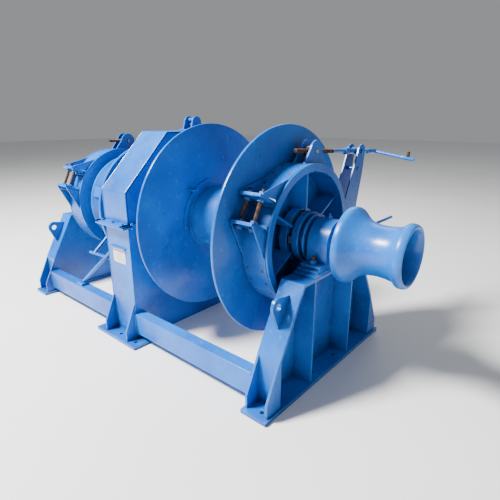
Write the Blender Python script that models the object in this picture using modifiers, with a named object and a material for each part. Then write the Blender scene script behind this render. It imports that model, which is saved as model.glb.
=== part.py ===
"""Anchor windlass: a rope drum and a chain wheel on one driven shaft, with band brakes, jaw clutches,
a warping head, a central gearbox and two bearing pedestals on a welded base.

Metres. X runs along the main shaft, +X towards the warping head; -Y is the front; +Z is up.
The origin is on the deck, under the middle of the gearbox. Pieces that touch keep a gap of GAP.
"near" is the +X end (rope drum), "far" is the -X end (chain wheel).
"""

import math
from dataclasses import dataclass

import bmesh
import bpy
from mathutils import Matrix, Vector

GAP = 0.0003
MERGE = 0.00005

# Sides of the polygons that stand for round shapes
BIG = 40
MID = 24
SMALL = 12
THIN = 8

# Main shaft
SHAFT_Z = 0.780
SHAFT_R = 0.060
SHAFT_END_R = 0.050
SHAFT_FAR_X = -1.262
SHAFT_STEP_X = 1.300
SHAFT_NEAR_X = 1.565
RUNNING = 0.0010  # radial clearance of a wheel on the shaft

# Base plates, beams and pedestals
BASE_T = 0.022
BASE_HALF_Y = 0.623
HOLE_R = 0.013
BEAM_Y = (0.475, 0.550)
BEAM_Z = (0.055, 0.195)
BEAM_WALL = 0.008
PED_W = 0.140
PED_T = 0.016
PED_FOOT_Y = 0.505
PED_KNEE_Z = 0.287
PED_TOP_Y = 0.314
PED_TOP_Z = 0.632
RIB_Y = 0.205
PAD_TOP_Z = 0.664

# Bearings
HOUSING_R = 0.120
HOUSING_W = 0.120
BUSH_R = 0.075
FOOT_TOP_Z = 0.684
STUD_Y = 0.1465
STUD_R = 0.010
STUD_HOLE_R = 0.0115
NUT_R = 0.0196
NUT_T = 0.018

# Gearbox
CASE_HALF_X = 0.127
CASE_HALF_Y = 0.540
CASE_SHOULDER_Z = 0.985
CASE_TOP_Y = 0.200
CASE_TOP_Z = 1.330
CASE_WALL = 0.012
CASE_BORE_R = 0.110
FLANGE_OUT = 0.055
FLANGE_T = 0.010

# Gears: a wheel on the shaft, a pinion straight below it
GEAR_TEETH = 36
PINION_TEETH = 12
MODULE = 2 * 0.578 / (GEAR_TEETH + PINION_TEETH)
PRESSURE = math.radians(20)
BACKLASH = 0.0030
GEAR_W = 0.100
PINION_Z = SHAFT_Z - MODULE * (GEAR_TEETH + PINION_TEETH) / 2
PINION_SHAFT_R = 0.035

# Rope drum
DRUM_FLANGE_R = 0.600
DRUM_FLANGE_T = 0.016
DRUM_NEAR_X = 0.925
DRUM_FAR_X = 0.303
BARREL_R = 0.210
BARREL_WALL = 0.016

# Chain wheel
DISC_R = 0.455
POCKETS = 5

# Band brakes
BRAKE_R = 0.378
RIM_R = 0.400
WEB_BACK = 0.0797
GUARD_BACK = 0.0900
LINING_IN_R = 0.3805
LINING_OUT_R = 0.3896
BAND_IN_R = 0.390
BAND_OUT_R = 0.398
BAND_HALF_W = 0.076
CLAMP_DEG = 154.0
CLAMP_REACH = 0.462  # distance of the clamp studs from the shaft's axis
CLAMP_NEAR = 0.065  # from the gap between the band halves to a clamp plate's inner face
CLAMP_FAR = 0.081
CLAMP_STUD_X = 0.0425
EAR_X = 0.0325
ARM_X = 0.037
ARM_T = 0.010

# Brake spindle: from the nut in the band's ears to the trunnion in the brake arms
NUT_Y = 0.100
NUT_Z = SHAFT_Z + 0.456
TRUNNION_Y = 0.645
TRUNNION_Z = SHAFT_Z + 0.426
SPINDLE_R = 0.012
CRANK_DROP = math.radians(8.7)
CRANK_ARM = 0.205
SLEEVE_FRONT = -0.150
SLEEVE_BACK = 0.030

# Clutches
JAWS = 4
LEVER_Z = 0.7095
LEVER_PIVOT_Y = 0.400
LEVER_END_Y = 1.070
LEVER_FROM_BRAKE = 0.118
YOKE_FROM_BRAKE = 0.101
SHELF_TOP_Z = 0.560

BLUE = (0.030, 0.150, 0.480)
STEEL = (0.42, 0.41, 0.40)
RUST = (0.16, 0.085, 0.045)
BRONZE = (0.45, 0.27, 0.11)
LINING = (0.07, 0.055, 0.045)
ALUMINIUM = (0.72, 0.72, 0.70)


@dataclass(frozen=True)
class Side:
    """One end of the windlass: its pedestal's web, its brake's middle, and which way is outboard."""

    name: str
    out: int
    web_x: float
    brake_x: float
    guard_r: float  # rim beside the band, on the gearbox's side; none where a drum flange guards it

    def from_web(self, distance):
        """An X position, outward from the pedestal's web."""
        return self.web_x + self.out * distance

    def from_brake(self, distance):
        """An X position, outward from the brake's middle."""
        return self.brake_x + self.out * distance


NEAR = Side("near", 1, 1.125, 1.005, BRAKE_R)
FAR = Side("far", -1, -1.085, -0.805, 0.405)


# ---------------------------------------------------------------- scene and materials


def clear_scene():
    """Removes every object from the scene."""
    for obj in list(bpy.data.objects):
        bpy.data.objects.remove(obj, do_unlink=True)


def collection(name, shown=True):
    """A new collection in the scene."""
    made = bpy.data.collections.new(name)
    bpy.context.scene.collection.children.link(made)
    made.hide_render = not shown
    return made


def material(name, colour, roughness, metallic):
    """A plain material of one colour."""
    made = bpy.data.materials.new(name)
    made.use_nodes = True
    shader = made.node_tree.nodes["Principled BSDF"]
    shader.inputs["Base Color"].default_value = (*colour, 1.0)
    shader.inputs["Roughness"].default_value = roughness
    shader.inputs["Metallic"].default_value = metallic
    return made


def finish(obj, name, colour=BLUE, roughness=0.38, metallic=0.0):
    """Names a finished piece, gives it its own material and puts it in the windlass's collection."""
    obj.name = name
    obj.data.name = name
    obj.data.materials.clear()
    obj.data.materials.append(material(name, colour, roughness, metallic))
    obj.data.shade_smooth()
    obj.data.set_sharp_from_angle(angle=math.radians(30))
    for used in list(obj.users_collection):
        used.objects.unlink(obj)
    PARTS.objects.link(obj)
    return obj


def tool(obj):
    """Marks a solid that only shapes another one."""
    obj.hide_render = True
    obj.display_type = "WIRE"
    return obj


# ---------------------------------------------------------------- shapes


def from_bmesh(shape):
    """An object in the cutters' collection, from a bmesh."""
    mesh = bpy.data.meshes.new("shape")
    shape.to_mesh(mesh)
    shape.free()
    obj = bpy.data.objects.new("shape", mesh)
    CUTTERS.objects.link(obj)
    return obj


def box(low, high, turn=0.0, about=(0.0, 0.0)):
    """A box between two opposite corners, turned about the X direction through the point (y, z) about."""
    corners = list(zip(low, high))
    low = Vector([min(pair) for pair in corners])
    high = Vector([max(pair) for pair in corners])
    shape = bmesh.new()
    bmesh.ops.create_cube(shape, size=1.0)
    bmesh.ops.scale(shape, vec=high - low, verts=shape.verts)
    bmesh.ops.translate(shape, vec=(low + high) / 2, verts=shape.verts)
    if turn:
        centre = (0.0, *about)
        bmesh.ops.rotate(shape, cent=centre, matrix=Matrix.Rotation(turn, 3, "X"), verts=shape.verts)
    return from_bmesh(shape)


def rod(start, end, radius, segments=16, end_radius=None):
    """A round bar, cone or, with six segments, a hexagon between two points."""
    start, end = Vector(start), Vector(end)
    along = end - start
    shape = bmesh.new()
    bmesh.ops.create_cone(
        shape,
        cap_ends=True,
        segments=segments,
        radius1=radius,
        radius2=radius if end_radius is None else end_radius,
        depth=along.length,
    )
    turn = Vector((0, 0, 1)).rotation_difference(along).to_matrix()
    bmesh.ops.rotate(shape, cent=(0, 0, 0), matrix=turn, verts=shape.verts)
    bmesh.ops.translate(shape, vec=(start + end) / 2, verts=shape.verts)
    return from_bmesh(shape)


def arc(centre, radius, start_deg, end_deg, steps):
    """Points of a round stretch, as (y, z) pairs, both ends included."""
    points = []
    for i in range(steps + 1):
        angle = math.radians(start_deg + (end_deg - start_deg) * i / steps)
        points.append((centre[0] + radius * math.cos(angle), centre[1] + radius * math.sin(angle)))
    return points


def plate(outline, x0, x1, holes=()):
    """A flat plate standing across X, from x0 to x1, with round holes given as (y, z, radius)."""
    curve = bpy.data.curves.new("plate", "CURVE")
    curve.dimensions = "2D"
    curve.fill_mode = "BOTH"
    curve.extrude = abs(x1 - x0) / 2
    loops = [outline] + [arc((y, z), r, 0, 330, 11) for y, z, r in holes]
    for loop in loops:
        spline = curve.splines.new("POLY")
        spline.points.add(len(loop) - 1)
        for point, (y, z) in zip(spline.points, loop):
            point.co = (y, z, 0.0, 1.0)
        spline.use_cyclic_u = True
    drawn = bpy.data.objects.new("plate", curve)
    drawn.matrix_world = Matrix(((0, 0, 1, (x0 + x1) / 2), (1, 0, 0, 0), (0, 1, 0, 0), (0, 0, 0, 1)))
    CUTTERS.objects.link(drawn)
    return as_mesh(drawn)


def as_mesh(drawn):
    """A curve turned into a closed mesh, placed in world space; the curve is removed."""
    bpy.context.view_layer.update()
    evaluated = drawn.evaluated_get(bpy.context.evaluated_depsgraph_get())
    mesh = bpy.data.meshes.new_from_object(evaluated)
    shape = bmesh.new()
    shape.from_mesh(mesh)
    bmesh.ops.remove_doubles(shape, verts=shape.verts, dist=MERGE)
    bmesh.ops.transform(shape, matrix=drawn.matrix_world, verts=shape.verts)
    bmesh.ops.recalc_face_normals(shape, faces=shape.faces)
    bpy.data.objects.remove(drawn, do_unlink=True)
    bpy.data.meshes.remove(mesh)
    return from_bmesh(shape)


def turned(profile, segments, z=SHAFT_Z, closed=True):
    """A turned shape about a line along X. The profile is a list of (x, radius)."""
    area = 0.0
    for (x0, r0), (x1, r1) in zip(profile, profile[1:] + profile[:1]):
        area += r0 * x1 - r1 * x0
    ordered = profile if area < 0 else profile[::-1]
    mesh = bpy.data.meshes.new("turned")
    edges = [(i, i + 1) for i in range(len(ordered) - 1)]
    if closed:
        edges.append((len(ordered) - 1, 0))
    mesh.from_pydata([(r, 0.0, x) for x, r in ordered], edges, [])
    obj = bpy.data.objects.new("turned", mesh)
    CUTTERS.objects.link(obj)
    screw = obj.modifiers.new("turn", "SCREW")
    screw.axis = "Z"
    screw.steps = segments
    screw.render_steps = segments
    screw.use_merge_vertices = True
    screw.merge_threshold = MERGE
    obj.rotation_euler = (0.0, math.pi / 2, 0.0)
    obj.location = (0.0, 0.0, z)
    return obj


def joined(first, *others):
    """One body from overlapping solids."""
    return boolean(first, others, "UNION")


def cut(first, *others):
    """A solid with other solids taken out of it."""
    return boolean(first, others, "DIFFERENCE")


def boolean(first, others, operation):
    """A solid that keeps one Boolean modifier for each of the others."""
    for other in others:
        step = first.modifiers.new(operation.lower(), "BOOLEAN")
        step.operation = operation
        step.solver = "EXACT"
        step.object = tool(other)
    return first


def inset(outline, depth, last):
    """The outline of a bent plate of even depth, open at the bottom: the outer line and back inside it."""
    inner = []
    for i, point in enumerate(outline):
        here = Vector(point)
        before = Vector(outline[max(i - 1, 0)])
        after = Vector(outline[min(i + 1, len(outline) - 1)])
        ways = [way.normalized() for way in (here - before, after - here) if way.length > 0]
        normals = [Vector((way.y, -way.x)) for way in ways]
        middle = sum(normals, Vector((0, 0))).normalized()
        shift = middle * depth / middle.dot(normals[0])
        inner.append(tuple(here + shift))
    inner[0] = (inner[0][0], last)
    inner[-1] = (inner[-1][0], last)
    return outline + inner[::-1]


def across(y, z):
    """A point on the front half, mirrored to the back."""
    return (-y, z)


# ---------------------------------------------------------------- frame


def pedestal_outline(sink=0.0):
    """The bearing stand's side view, its outer line drawn in by sink."""
    front = [(-PED_FOOT_Y + sink, BASE_T - 0.006), (-PED_FOOT_Y + sink, PED_KNEE_Z)]
    front.append((-PED_TOP_Y, PED_TOP_Z - sink))
    return front + [across(*point) for point in front[::-1]]


def pedestal(side):
    """A bearing stand: base, web, bent outer plate, ribs, gussets, pad, lifting lug and lever shelf."""
    x = side.from_web
    outline = pedestal_outline()
    stand = plate(inset(outline, PED_T, BASE_T - 0.006), x(0), x(PED_W))
    web = plate(pedestal_outline(0.005), x(0.002), x(0.014))
    base = box((x(-0.010), -BASE_HALF_Y, 0), (x(0.150), BASE_HALF_Y, BASE_T))
    ribs = []
    for y in (-RIB_Y, RIB_Y):
        ribs.append(box((x(0.010), y - 0.006, BASE_T - 0.006), (x(PED_W - 0.002), y + 0.006, 0.622)))
    gussets = []
    for near_edge in (0.001, PED_W - 0.013):
        for end in (-1, 1):
            toe = [(0.498, 0.300), (0.598, 0.095), (0.598, BASE_T - 0.006), (0.498, BASE_T - 0.006)]
            corners = [(end * y, z) for y, z in toe]
            gussets.append(plate(corners, x(near_edge), x(near_edge + 0.012)))
    lower_pad = box((x(0.012), -0.225, PED_TOP_Z - 0.004), (x(0.138), 0.225, PED_TOP_Z + 0.016))
    upper_pad = box((x(0.016), -0.200, PED_TOP_Z + 0.010), (x(0.136), 0.200, PAD_TOP_Z))
    lug = plate(
        [(-0.400, 0.440), (-0.424, 0.412), (-0.437, 0.424)]
        + arc((-0.436, 0.540), 0.048, 190, 62, 6)
        + [(-0.338, 0.572)],
        x(0.062),
        x(0.078),
        holes=[(-0.438, 0.540, 0.021)],
    )
    shelf_x = side.from_brake(LEVER_FROM_BRAKE - 0.020)
    shelf = box((shelf_x, 0.300, SHELF_TOP_Z - 0.014), (x(0.020), 0.430, SHELF_TOP_Z))
    body = joined(stand, web, base, *ribs, *gussets, lower_pad, upper_pad, lug, shelf)
    holes = []
    for y in (-0.573, -0.120, 0.120, 0.573):
        holes.append(rod((x(0.090), y, -0.01), (x(0.090), y, BASE_T + 0.01), HOLE_R, THIN))
    for y in (-STUD_Y, STUD_Y):
        low, high = (x(0.080), y, PED_TOP_Z - 0.04), (x(0.080), y, PAD_TOP_Z + 0.01)
        holes.append(rod(low, high, STUD_HOLE_R, THIN))
    finish(cut(body, *holes), f"{side.name}_pedestal")


def beams():
    """Four box beams that tie the pedestals to the gearbox, front and rear."""
    bays = {
        "near": (CASE_HALF_X + GAP, NEAR.web_x - GAP),
        "far": (FAR.web_x + GAP, -CASE_HALF_X - GAP),
    }
    for bay, (x0, x1) in bays.items():
        for place, y in (("front", -1), ("rear", 1)):
            y0, y1 = sorted(y * edge for edge in BEAM_Y)
            outside = box((x0, y0, BEAM_Z[0]), (x1, y1, BEAM_Z[1]))
            wall = BEAM_WALL
            hollow = box((x0 - 0.01, y0 + wall, BEAM_Z[0] + wall), (x1 + 0.01, y1 - wall, BEAM_Z[1] - wall))
            finish(cut(outside, hollow), f"{bay}_{place}_beam")


def bearing(side):
    """A plummer block with its bush and the two studs that hold it down."""
    x = side.from_web
    outline = [(-0.175, PAD_TOP_Z + GAP), (-0.175, FOOT_TOP_Z), (-HOUSING_R, FOOT_TOP_Z)]
    outline += arc((0.0, SHAFT_Z), HOUSING_R, 180, 0, 14)
    outline += [(HOUSING_R, FOOT_TOP_Z), (0.175, FOOT_TOP_Z), (0.175, PAD_TOP_Z + GAP)]
    block = plate(outline, x(0.020), x(0.020 + HOUSING_W))
    bore = axle(BUSH_R + GAP, SHAFT_Z, x(0), x(0.16), MID)
    holes = []
    for y in (-STUD_Y, STUD_Y):
        holes.append(rod((x(0.080), y, 0.64), (x(0.080), y, 0.70), STUD_HOLE_R, THIN))
    finish(cut(block, bore, *holes), f"{side.name}_bearing_housing")
    bore_r = SHAFT_R + RUNNING
    ring = [(x(0.018), BUSH_R), (x(0.142), BUSH_R), (x(0.142), bore_r), (x(0.018), bore_r)]
    finish(turned(ring, MID), f"{side.name}_bearing_bush", BRONZE, 0.4, 0.9)
    for place, y in (("front", -STUD_Y), ("rear", STUD_Y)):
        stem = rod((x(0.080), y, 0.590), (x(0.080), y, 0.728), STUD_R, THIN)
        upper = rod((x(0.080), y, FOOT_TOP_Z + GAP), (x(0.080), y, FOOT_TOP_Z + GAP + NUT_T), NUT_R, 6)
        below = PED_TOP_Z - PED_T - GAP
        lower = rod((x(0.080), y, below - NUT_T), (x(0.080), y, below), NUT_R, 6)
        finish(joined(stem, upper, lower), f"{side.name}_bearing_stud_{place}", RUST, 0.7, 0.5)


# ---------------------------------------------------------------- gearbox


def case_walls(outline, hollow):
    """Half of the gearbox casing: a solid cut out to a thin wall."""
    outside = plate(outline, -CASE_HALF_X, CASE_HALF_X)
    inside = plate(hollow, -CASE_HALF_X + CASE_WALL, CASE_HALF_X - CASE_WALL)
    return cut(outside, inside)


def axle(radius, z, x0, x1, segments):
    """A round bar along X, over the middle of the base."""
    return rod((x0, 0.0, z), (x1, 0.0, z), radius, segments)


def split_flange(z0, z1):
    """The rim where the two halves of the casing are bolted together, cut out inside."""
    y = CASE_HALF_Y + FLANGE_OUT
    x = CASE_HALF_X + 0.030
    rim = box((-x, -y, z0), (x, y, z1))
    inner_x = CASE_HALF_X - CASE_WALL - 0.001
    inner_y = CASE_HALF_Y - CASE_WALL - 0.001
    cut(rim, box((-inner_x, -inner_y, z0 - 0.01), (inner_x, inner_y, z1 + 0.01)))
    return rim


def bearing_seats():
    """The bore for the shaft's bearings, with room for their flanges outside the casing."""
    seats = [axle(CASE_BORE_R, SHAFT_Z, -0.3, 0.3, MID)]
    for out in (-1, 1):
        seats.append(axle(0.153, SHAFT_Z, out * CASE_HALF_X, out * 0.3, MID))
    return seats


def gearbox_lower_casing():
    """The lower half of the gearbox: walls, feet with gussets, split rim, ledge and pinion bearing boss."""
    wall = CASE_WALL
    y = CASE_HALF_Y
    top = SHAFT_Z - GAP
    bottom = 0.0
    outline = [(-y, bottom), (-y, top), (y, top), (y, bottom)]
    hollow = [(-y + wall, 0.034), (-y + wall, top + 0.1), (y - wall, top + 0.1), (y - wall, 0.034)]
    walls = case_walls(outline, hollow)
    added = [split_flange(top - FLANGE_T, top)]
    for end in (-1, 1):
        y0, y1 = sorted((end * 0.450, end * 0.636))
        added.append(box((-0.220, y0, 0), (0.220, y1, BASE_T)))
        for x in (-CASE_HALF_X + 0.001, CASE_HALF_X - 0.013):
            toe = [(0.532, 0.290), (0.622, 0.090), (0.622, BASE_T - 0.006), (0.532, BASE_T - 0.006)]
            added.append(plate([(end * a, b) for a, b in toe], x, x + 0.012))
    added.append(box((-0.080, -CASE_HALF_Y - 0.016, 0.618), (0.080, -CASE_HALF_Y + 0.005, 0.626)))
    boss = axle(0.062, PINION_Z, CASE_HALF_X - 0.042, CASE_HALF_X - 0.006, 16)
    body = joined(walls, *added, boss)
    inner = CASE_HALF_X - CASE_WALL
    holes = bearing_seats()
    holes.append(axle(0.060, PINION_Z, -0.3, -inner + 0.01, 16))
    holes.append(axle(PINION_SHAFT_R + 0.002, PINION_Z, 0.0, inner + 0.0015, 16))
    for end in (-1, 1):
        for x in (-0.170, 0.0, 0.170):
            holes.append(rod((x, end * 0.588, -0.01), (x, end * 0.588, BASE_T + 0.01), HOLE_R, THIN))
    finish(cut(body, *holes), "gearbox_lower_casing")


def gearbox_upper_casing():
    """The upper half of the gearbox: a sloped hood with its split rim."""
    wall = CASE_WALL
    y = CASE_HALF_Y
    low = SHAFT_Z + GAP
    front = [(-y, low), (-y, CASE_SHOULDER_Z), (-CASE_TOP_Y, CASE_TOP_Z)]
    outline = front + [across(*point) for point in front[::-1]]
    inside = [(-y + wall, low - 0.1), (-y + wall, CASE_SHOULDER_Z - 0.005)]
    inside.append((-CASE_TOP_Y + 0.005, CASE_TOP_Z - wall))
    hollow = inside + [across(*point) for point in inside[::-1]]
    body = joined(case_walls(outline, hollow), split_flange(low, low + FLANGE_T))
    finish(cut(body, *bearing_seats()), "gearbox_upper_casing")


def gearbox_fittings():
    """Shaft bearings in the casing's sides, the blank data plate and the lifting bracket on top."""
    for name, out in (("near", 1), ("far", -1)):
        ring = [
            (CASE_HALF_X + 0.017, 0.150),
            (CASE_HALF_X + GAP, 0.150),
            (CASE_HALF_X + GAP, CASE_BORE_R - 2 * GAP),
            (CASE_HALF_X - CASE_WALL, CASE_BORE_R - 2 * GAP),
            (CASE_HALF_X - CASE_WALL, SHAFT_R + RUNNING),
            (CASE_HALF_X + 0.017, SHAFT_R + RUNNING),
        ]
        finish(turned([(out * x, r) for x, r in ring], MID), f"gearbox_{name}_bearing")
    front = -CASE_HALF_Y - GAP
    data = box((-0.068, front - 0.005, 0.518), (0.068, front, 0.612))
    finish(data, "data_plate", ALUMINIUM, 0.45, 0.6)
    top = CASE_TOP_Z + GAP
    foot = box((-0.060, 0.060, top), (0.060, 0.200, top + 0.010))
    cheeks = []
    for x in (-0.046, 0.034):
        outline = [(0.072, top + 0.005)] + arc((0.130, 1.386), 0.040, 180, 0, 8) + [(0.188, top + 0.005)]
        cheeks.append(plate(outline, x, x + 0.012))
    tube = rod((-0.040, 0.130, 1.402), (0.040, 0.130, 1.402), 0.013, THIN)
    pin = rod((-0.052, 0.130, 1.372), (0.052, 0.130, 1.372), 0.009, THIN)
    finish(joined(foot, *cheeks, tube, pin), "lifting_bracket")


def involute(angle):
    """The involute function of a pressure angle."""
    return math.tan(angle) - angle


def gear_outline(teeth, first_tooth, centre_z):
    """A spur gear's outline as (y, z), with a tooth centred at the angle first_tooth."""
    pitch_r = MODULE * teeth / 2
    base_r = pitch_r * math.cos(PRESSURE)
    tip_r = pitch_r + 0.78 * MODULE
    root_r = pitch_r - 1.05 * MODULE
    flank = [max(base_r, root_r), tip_r]
    half_pitch = math.pi / (2 * teeth) - BACKLASH / (2 * pitch_r)
    widths = []
    for radius in flank:
        swing = involute(math.acos(min(1.0, base_r / radius)))
        widths.append(half_pitch + involute(PRESSURE) - swing)
    points = []
    for tooth in range(teeth):
        middle = first_tooth + 2 * math.pi * tooth / teeth
        side = [(root_r, widths[0]), (tip_r, widths[1])]
        turns = [(r, middle - w) for r, w in side] + [(r, middle + w) for r, w in side[::-1]]
        points += [(r * math.cos(a), centre_z + r * math.sin(a)) for r, a in turns]
    return points


def gears():
    """The main gear on the shaft and, below it, the pinion on its own shaft."""
    half = GEAR_W / 2
    teeth = plate(gear_outline(GEAR_TEETH, -math.pi / 2, SHAFT_Z), -half, half)
    hub = axle(0.100, SHAFT_Z, -0.068, 0.068, MID)
    bore = axle(SHAFT_R + GAP, SHAFT_Z, -0.1, 0.1, MID)
    finish(cut(joined(teeth, hub), bore), "main_gear", STEEL, 0.35, 0.9)
    first = math.pi / 2 + math.pi / PINION_TEETH
    pinion = plate(gear_outline(PINION_TEETH, first, PINION_Z), -half - 0.004, half + 0.004)
    shaft = axle(PINION_SHAFT_R, PINION_Z, -0.185, CASE_HALF_X - CASE_WALL - 0.002, SMALL)
    finish(joined(pinion, shaft), "pinion_shaft", STEEL, 0.35, 0.9)


def hydraulic_motor():
    """The drive motor, on the gearbox's far side, over the end of the pinion shaft."""
    face = -CASE_HALF_X - GAP
    profile = [
        (face + CASE_WALL, 0.0),
        (face + CASE_WALL, 0.0590),
        (face, 0.0590),
        (face, 0.105),
        (face - 0.020, 0.105),
        (face - 0.026, 0.088),
        (face - 0.150, 0.088),
        (face - 0.156, 0.094),
        (face - 0.210, 0.094),
        (face - 0.222, 0.070),
        (face - 0.222, 0.0),
    ]
    body = turned(profile, 16, z=PINION_Z, closed=False)
    bore = axle(PINION_SHAFT_R + 0.002, PINION_Z, face - 0.075, 0.0, 16)
    ports = []
    for x in (face - 0.165, face - 0.200):
        ports.append(rod((x, 0.05, PINION_Z), (x, 0.120, PINION_Z), 0.014, THIN))
    finish(cut(joined(body, *ports), bore), "hydraulic_motor")


# ---------------------------------------------------------------- shaft and wheels


def main_shaft():
    """The main shaft, stepped down under the warping head."""
    profile = [
        (SHAFT_FAR_X, 0.0),
        (SHAFT_FAR_X, SHAFT_R - 0.004),
        (SHAFT_FAR_X + 0.004, SHAFT_R),
        (SHAFT_STEP_X, SHAFT_R),
        (SHAFT_STEP_X, SHAFT_END_R),
        (SHAFT_NEAR_X, SHAFT_END_R),
        (SHAFT_NEAR_X, 0.0),
    ]
    finish(turned(profile, MID, closed=False), "main_shaft", STEEL, 0.35, 0.9)


def warping_head():
    """The outboard rope head, hollow and ribbed at its open end, with the disc that keeps it on."""
    outside = [(1.655, 0.134), (1.660, 0.146), (1.650, 0.157), (1.625, 0.160), (1.602, 0.143)]
    outside += [(1.565, 0.132), (1.515, 0.128), (1.460, 0.133), (1.415, 0.152), (1.362, 0.198)]
    outside.append((1.325, 0.200))
    bore = SHAFT_END_R + GAP
    inside = [(1.325, bore), (SHAFT_NEAR_X, bore), (SHAFT_NEAR_X, 0.066), (1.500, 0.070), (1.500, 0.104)]
    inside += [(1.600, 0.120)]
    shell = turned(outside + inside, 32)
    ribs = []
    for i in range(4):
        angle = math.radians(8 + 90 * i)
        rib = box((1.490, 0.062, SHAFT_Z - 0.005), (1.552, 0.114, SHAFT_Z + 0.005), angle, (0.0, SHAFT_Z))
        ribs.append(rib)
    finish(joined(shell, *ribs), "warping_head")
    start = SHAFT_NEAR_X + GAP
    disc = axle(0.080, SHAFT_Z, start, start + 0.013, MID)
    head = axle(0.024, SHAFT_Z, start + 0.005, start + 0.028, 6)
    finish(joined(disc, head), "warping_head_retainer")


def rope_drum():
    """Barrel and far flange in one, and the near flange, both running free on the shaft."""
    bore = SHAFT_R + RUNNING
    far = DRUM_FAR_X
    face = far + DRUM_FLANGE_T
    end = DRUM_NEAR_X - DRUM_FLANGE_T - GAP
    inner = BARREL_R - BARREL_WALL
    profile = [(end, BARREL_R), (face, BARREL_R), (face, DRUM_FLANGE_R), (far, DRUM_FLANGE_R)]
    profile += [(far, 0.115), (far - 0.042, 0.115), (far - 0.042, bore), (face + 0.004, bore)]
    profile += [(face + 0.004, inner), (end, inner)]
    finish(turned(profile, BIG), "rope_drum")
    near = DRUM_NEAR_X - DRUM_FLANGE_T
    ring = [(DRUM_NEAR_X, DRUM_FLANGE_R), (near, DRUM_FLANGE_R), (near, bore), (DRUM_NEAR_X, bore)]
    finish(turned(ring, BIG), "drum_near_flange")


def brake_drum_back(side):
    """The brake drum's profile on the side of the gearbox, down to the bore."""
    bore = SHAFT_R + RUNNING
    if side.guard_r > BRAKE_R:
        return [(-0.078, BRAKE_R), (-0.078, side.guard_r), (-GUARD_BACK, side.guard_r), (-GUARD_BACK, bore)]
    return [(-WEB_BACK, BRAKE_R), (-WEB_BACK, bore)]


def brake_drum(side):
    """The ring that the band grips, its ribbed recess, and the slotted jaw ring of the clutch."""
    x = side.from_brake
    bore = SHAFT_R + RUNNING
    profile = [
        (0.092, RIM_R),
        (0.080, RIM_R),
        (0.080, BRAKE_R),
        *brake_drum_back(side),
        (0.025, bore),
        (0.025, 0.153),
        (-0.020, 0.153),
        (-0.020, 0.092),
        (-0.0677, 0.092),
        (-0.0677, 0.358),
        (0.092, 0.358),
    ]
    ring = turned([(x(a), r) for a, r in profile], BIG)
    ribs = []
    for i in range(6):
        angle = math.radians(30 + 60 * i)
        low = (x(-0.070), 0.150, SHAFT_Z - 0.006)
        high = (x(0.052), 0.361, SHAFT_Z + 0.006)
        ribs.append(box(low, high, angle, (0.0, SHAFT_Z)))
    slots = []
    for i in range(JAWS):
        angle = 2 * math.pi * i / JAWS
        low = (x(0.003), 0.088, SHAFT_Z - 0.026)
        high = (x(0.040), 0.142, SHAFT_Z + 0.026)
        slots.append(box(low, high, angle, (0.0, SHAFT_Z)))
    finish(cut(joined(ring, *ribs), *slots), f"{side.name}_brake_drum")


def chain_wheel():
    """The cable lifter: a pocketed groove between two flanges, and a larger disc beside the gearbox."""
    bore = SHAFT_R + RUNNING
    web = FAR.from_brake(-GUARD_BACK) + GAP
    profile = [(-0.335, DISC_R), (-0.358, DISC_R), (-0.366, 0.350), (-0.440, 0.285), (-0.475, 0.215)]
    profile += [(-0.525, 0.215), (-0.560, 0.285), (-0.634, 0.350), (-0.654, 0.350), (-0.654, 0.135)]
    profile += [(web, 0.135), (web, bore), (-0.240, bore), (-0.240, 0.115), (-0.335, 0.115)]
    wheel = turned(profile, BIG)
    teeth = []
    for i in range(POCKETS):
        angle = 2 * math.pi * (i + 0.25) / POCKETS
        for low_x, high_x in ((-0.462, -0.360), (-0.640, -0.538)):
            low = (low_x, 0.205, SHAFT_Z - 0.040)
            high = (high_x, 0.342, SHAFT_Z + 0.040)
            teeth.append(box(low, high, angle, (0.0, SHAFT_Z)))
    finish(joined(wheel, *teeth), "chain_wheel")


def chain_stripper():
    """The bar that keeps chain from following the wheel round, with its strut from the beam."""
    y = -0.450
    face = -CASE_HALF_X - GAP
    pad = box((face - 0.010, y - 0.035, 0.440), (face, y + 0.030, 0.640))
    bar = rod((face - 0.009, y, 0.470), (-0.560, y, 0.452), 0.011, THIN)
    strut = rod((face - 0.009, y, 0.612), (-0.610, -0.510, 0.216), 0.012, THIN)
    tie = rod((-0.300, y - 0.02, 0.469), (-0.300, y + 0.006, 0.458), 0.010, THIN)
    foot = box((-0.645, -0.542, BEAM_Z[1] + GAP), (-0.575, -0.483, BEAM_Z[1] + 0.020))
    finger = rod((-0.500, y, 0.454), (-0.500, -0.262, 0.612), 0.012, THIN)
    finish(joined(bar, pad, strut, tie, foot, finger), "chain_stripper")


# ---------------------------------------------------------------- clutches


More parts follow.
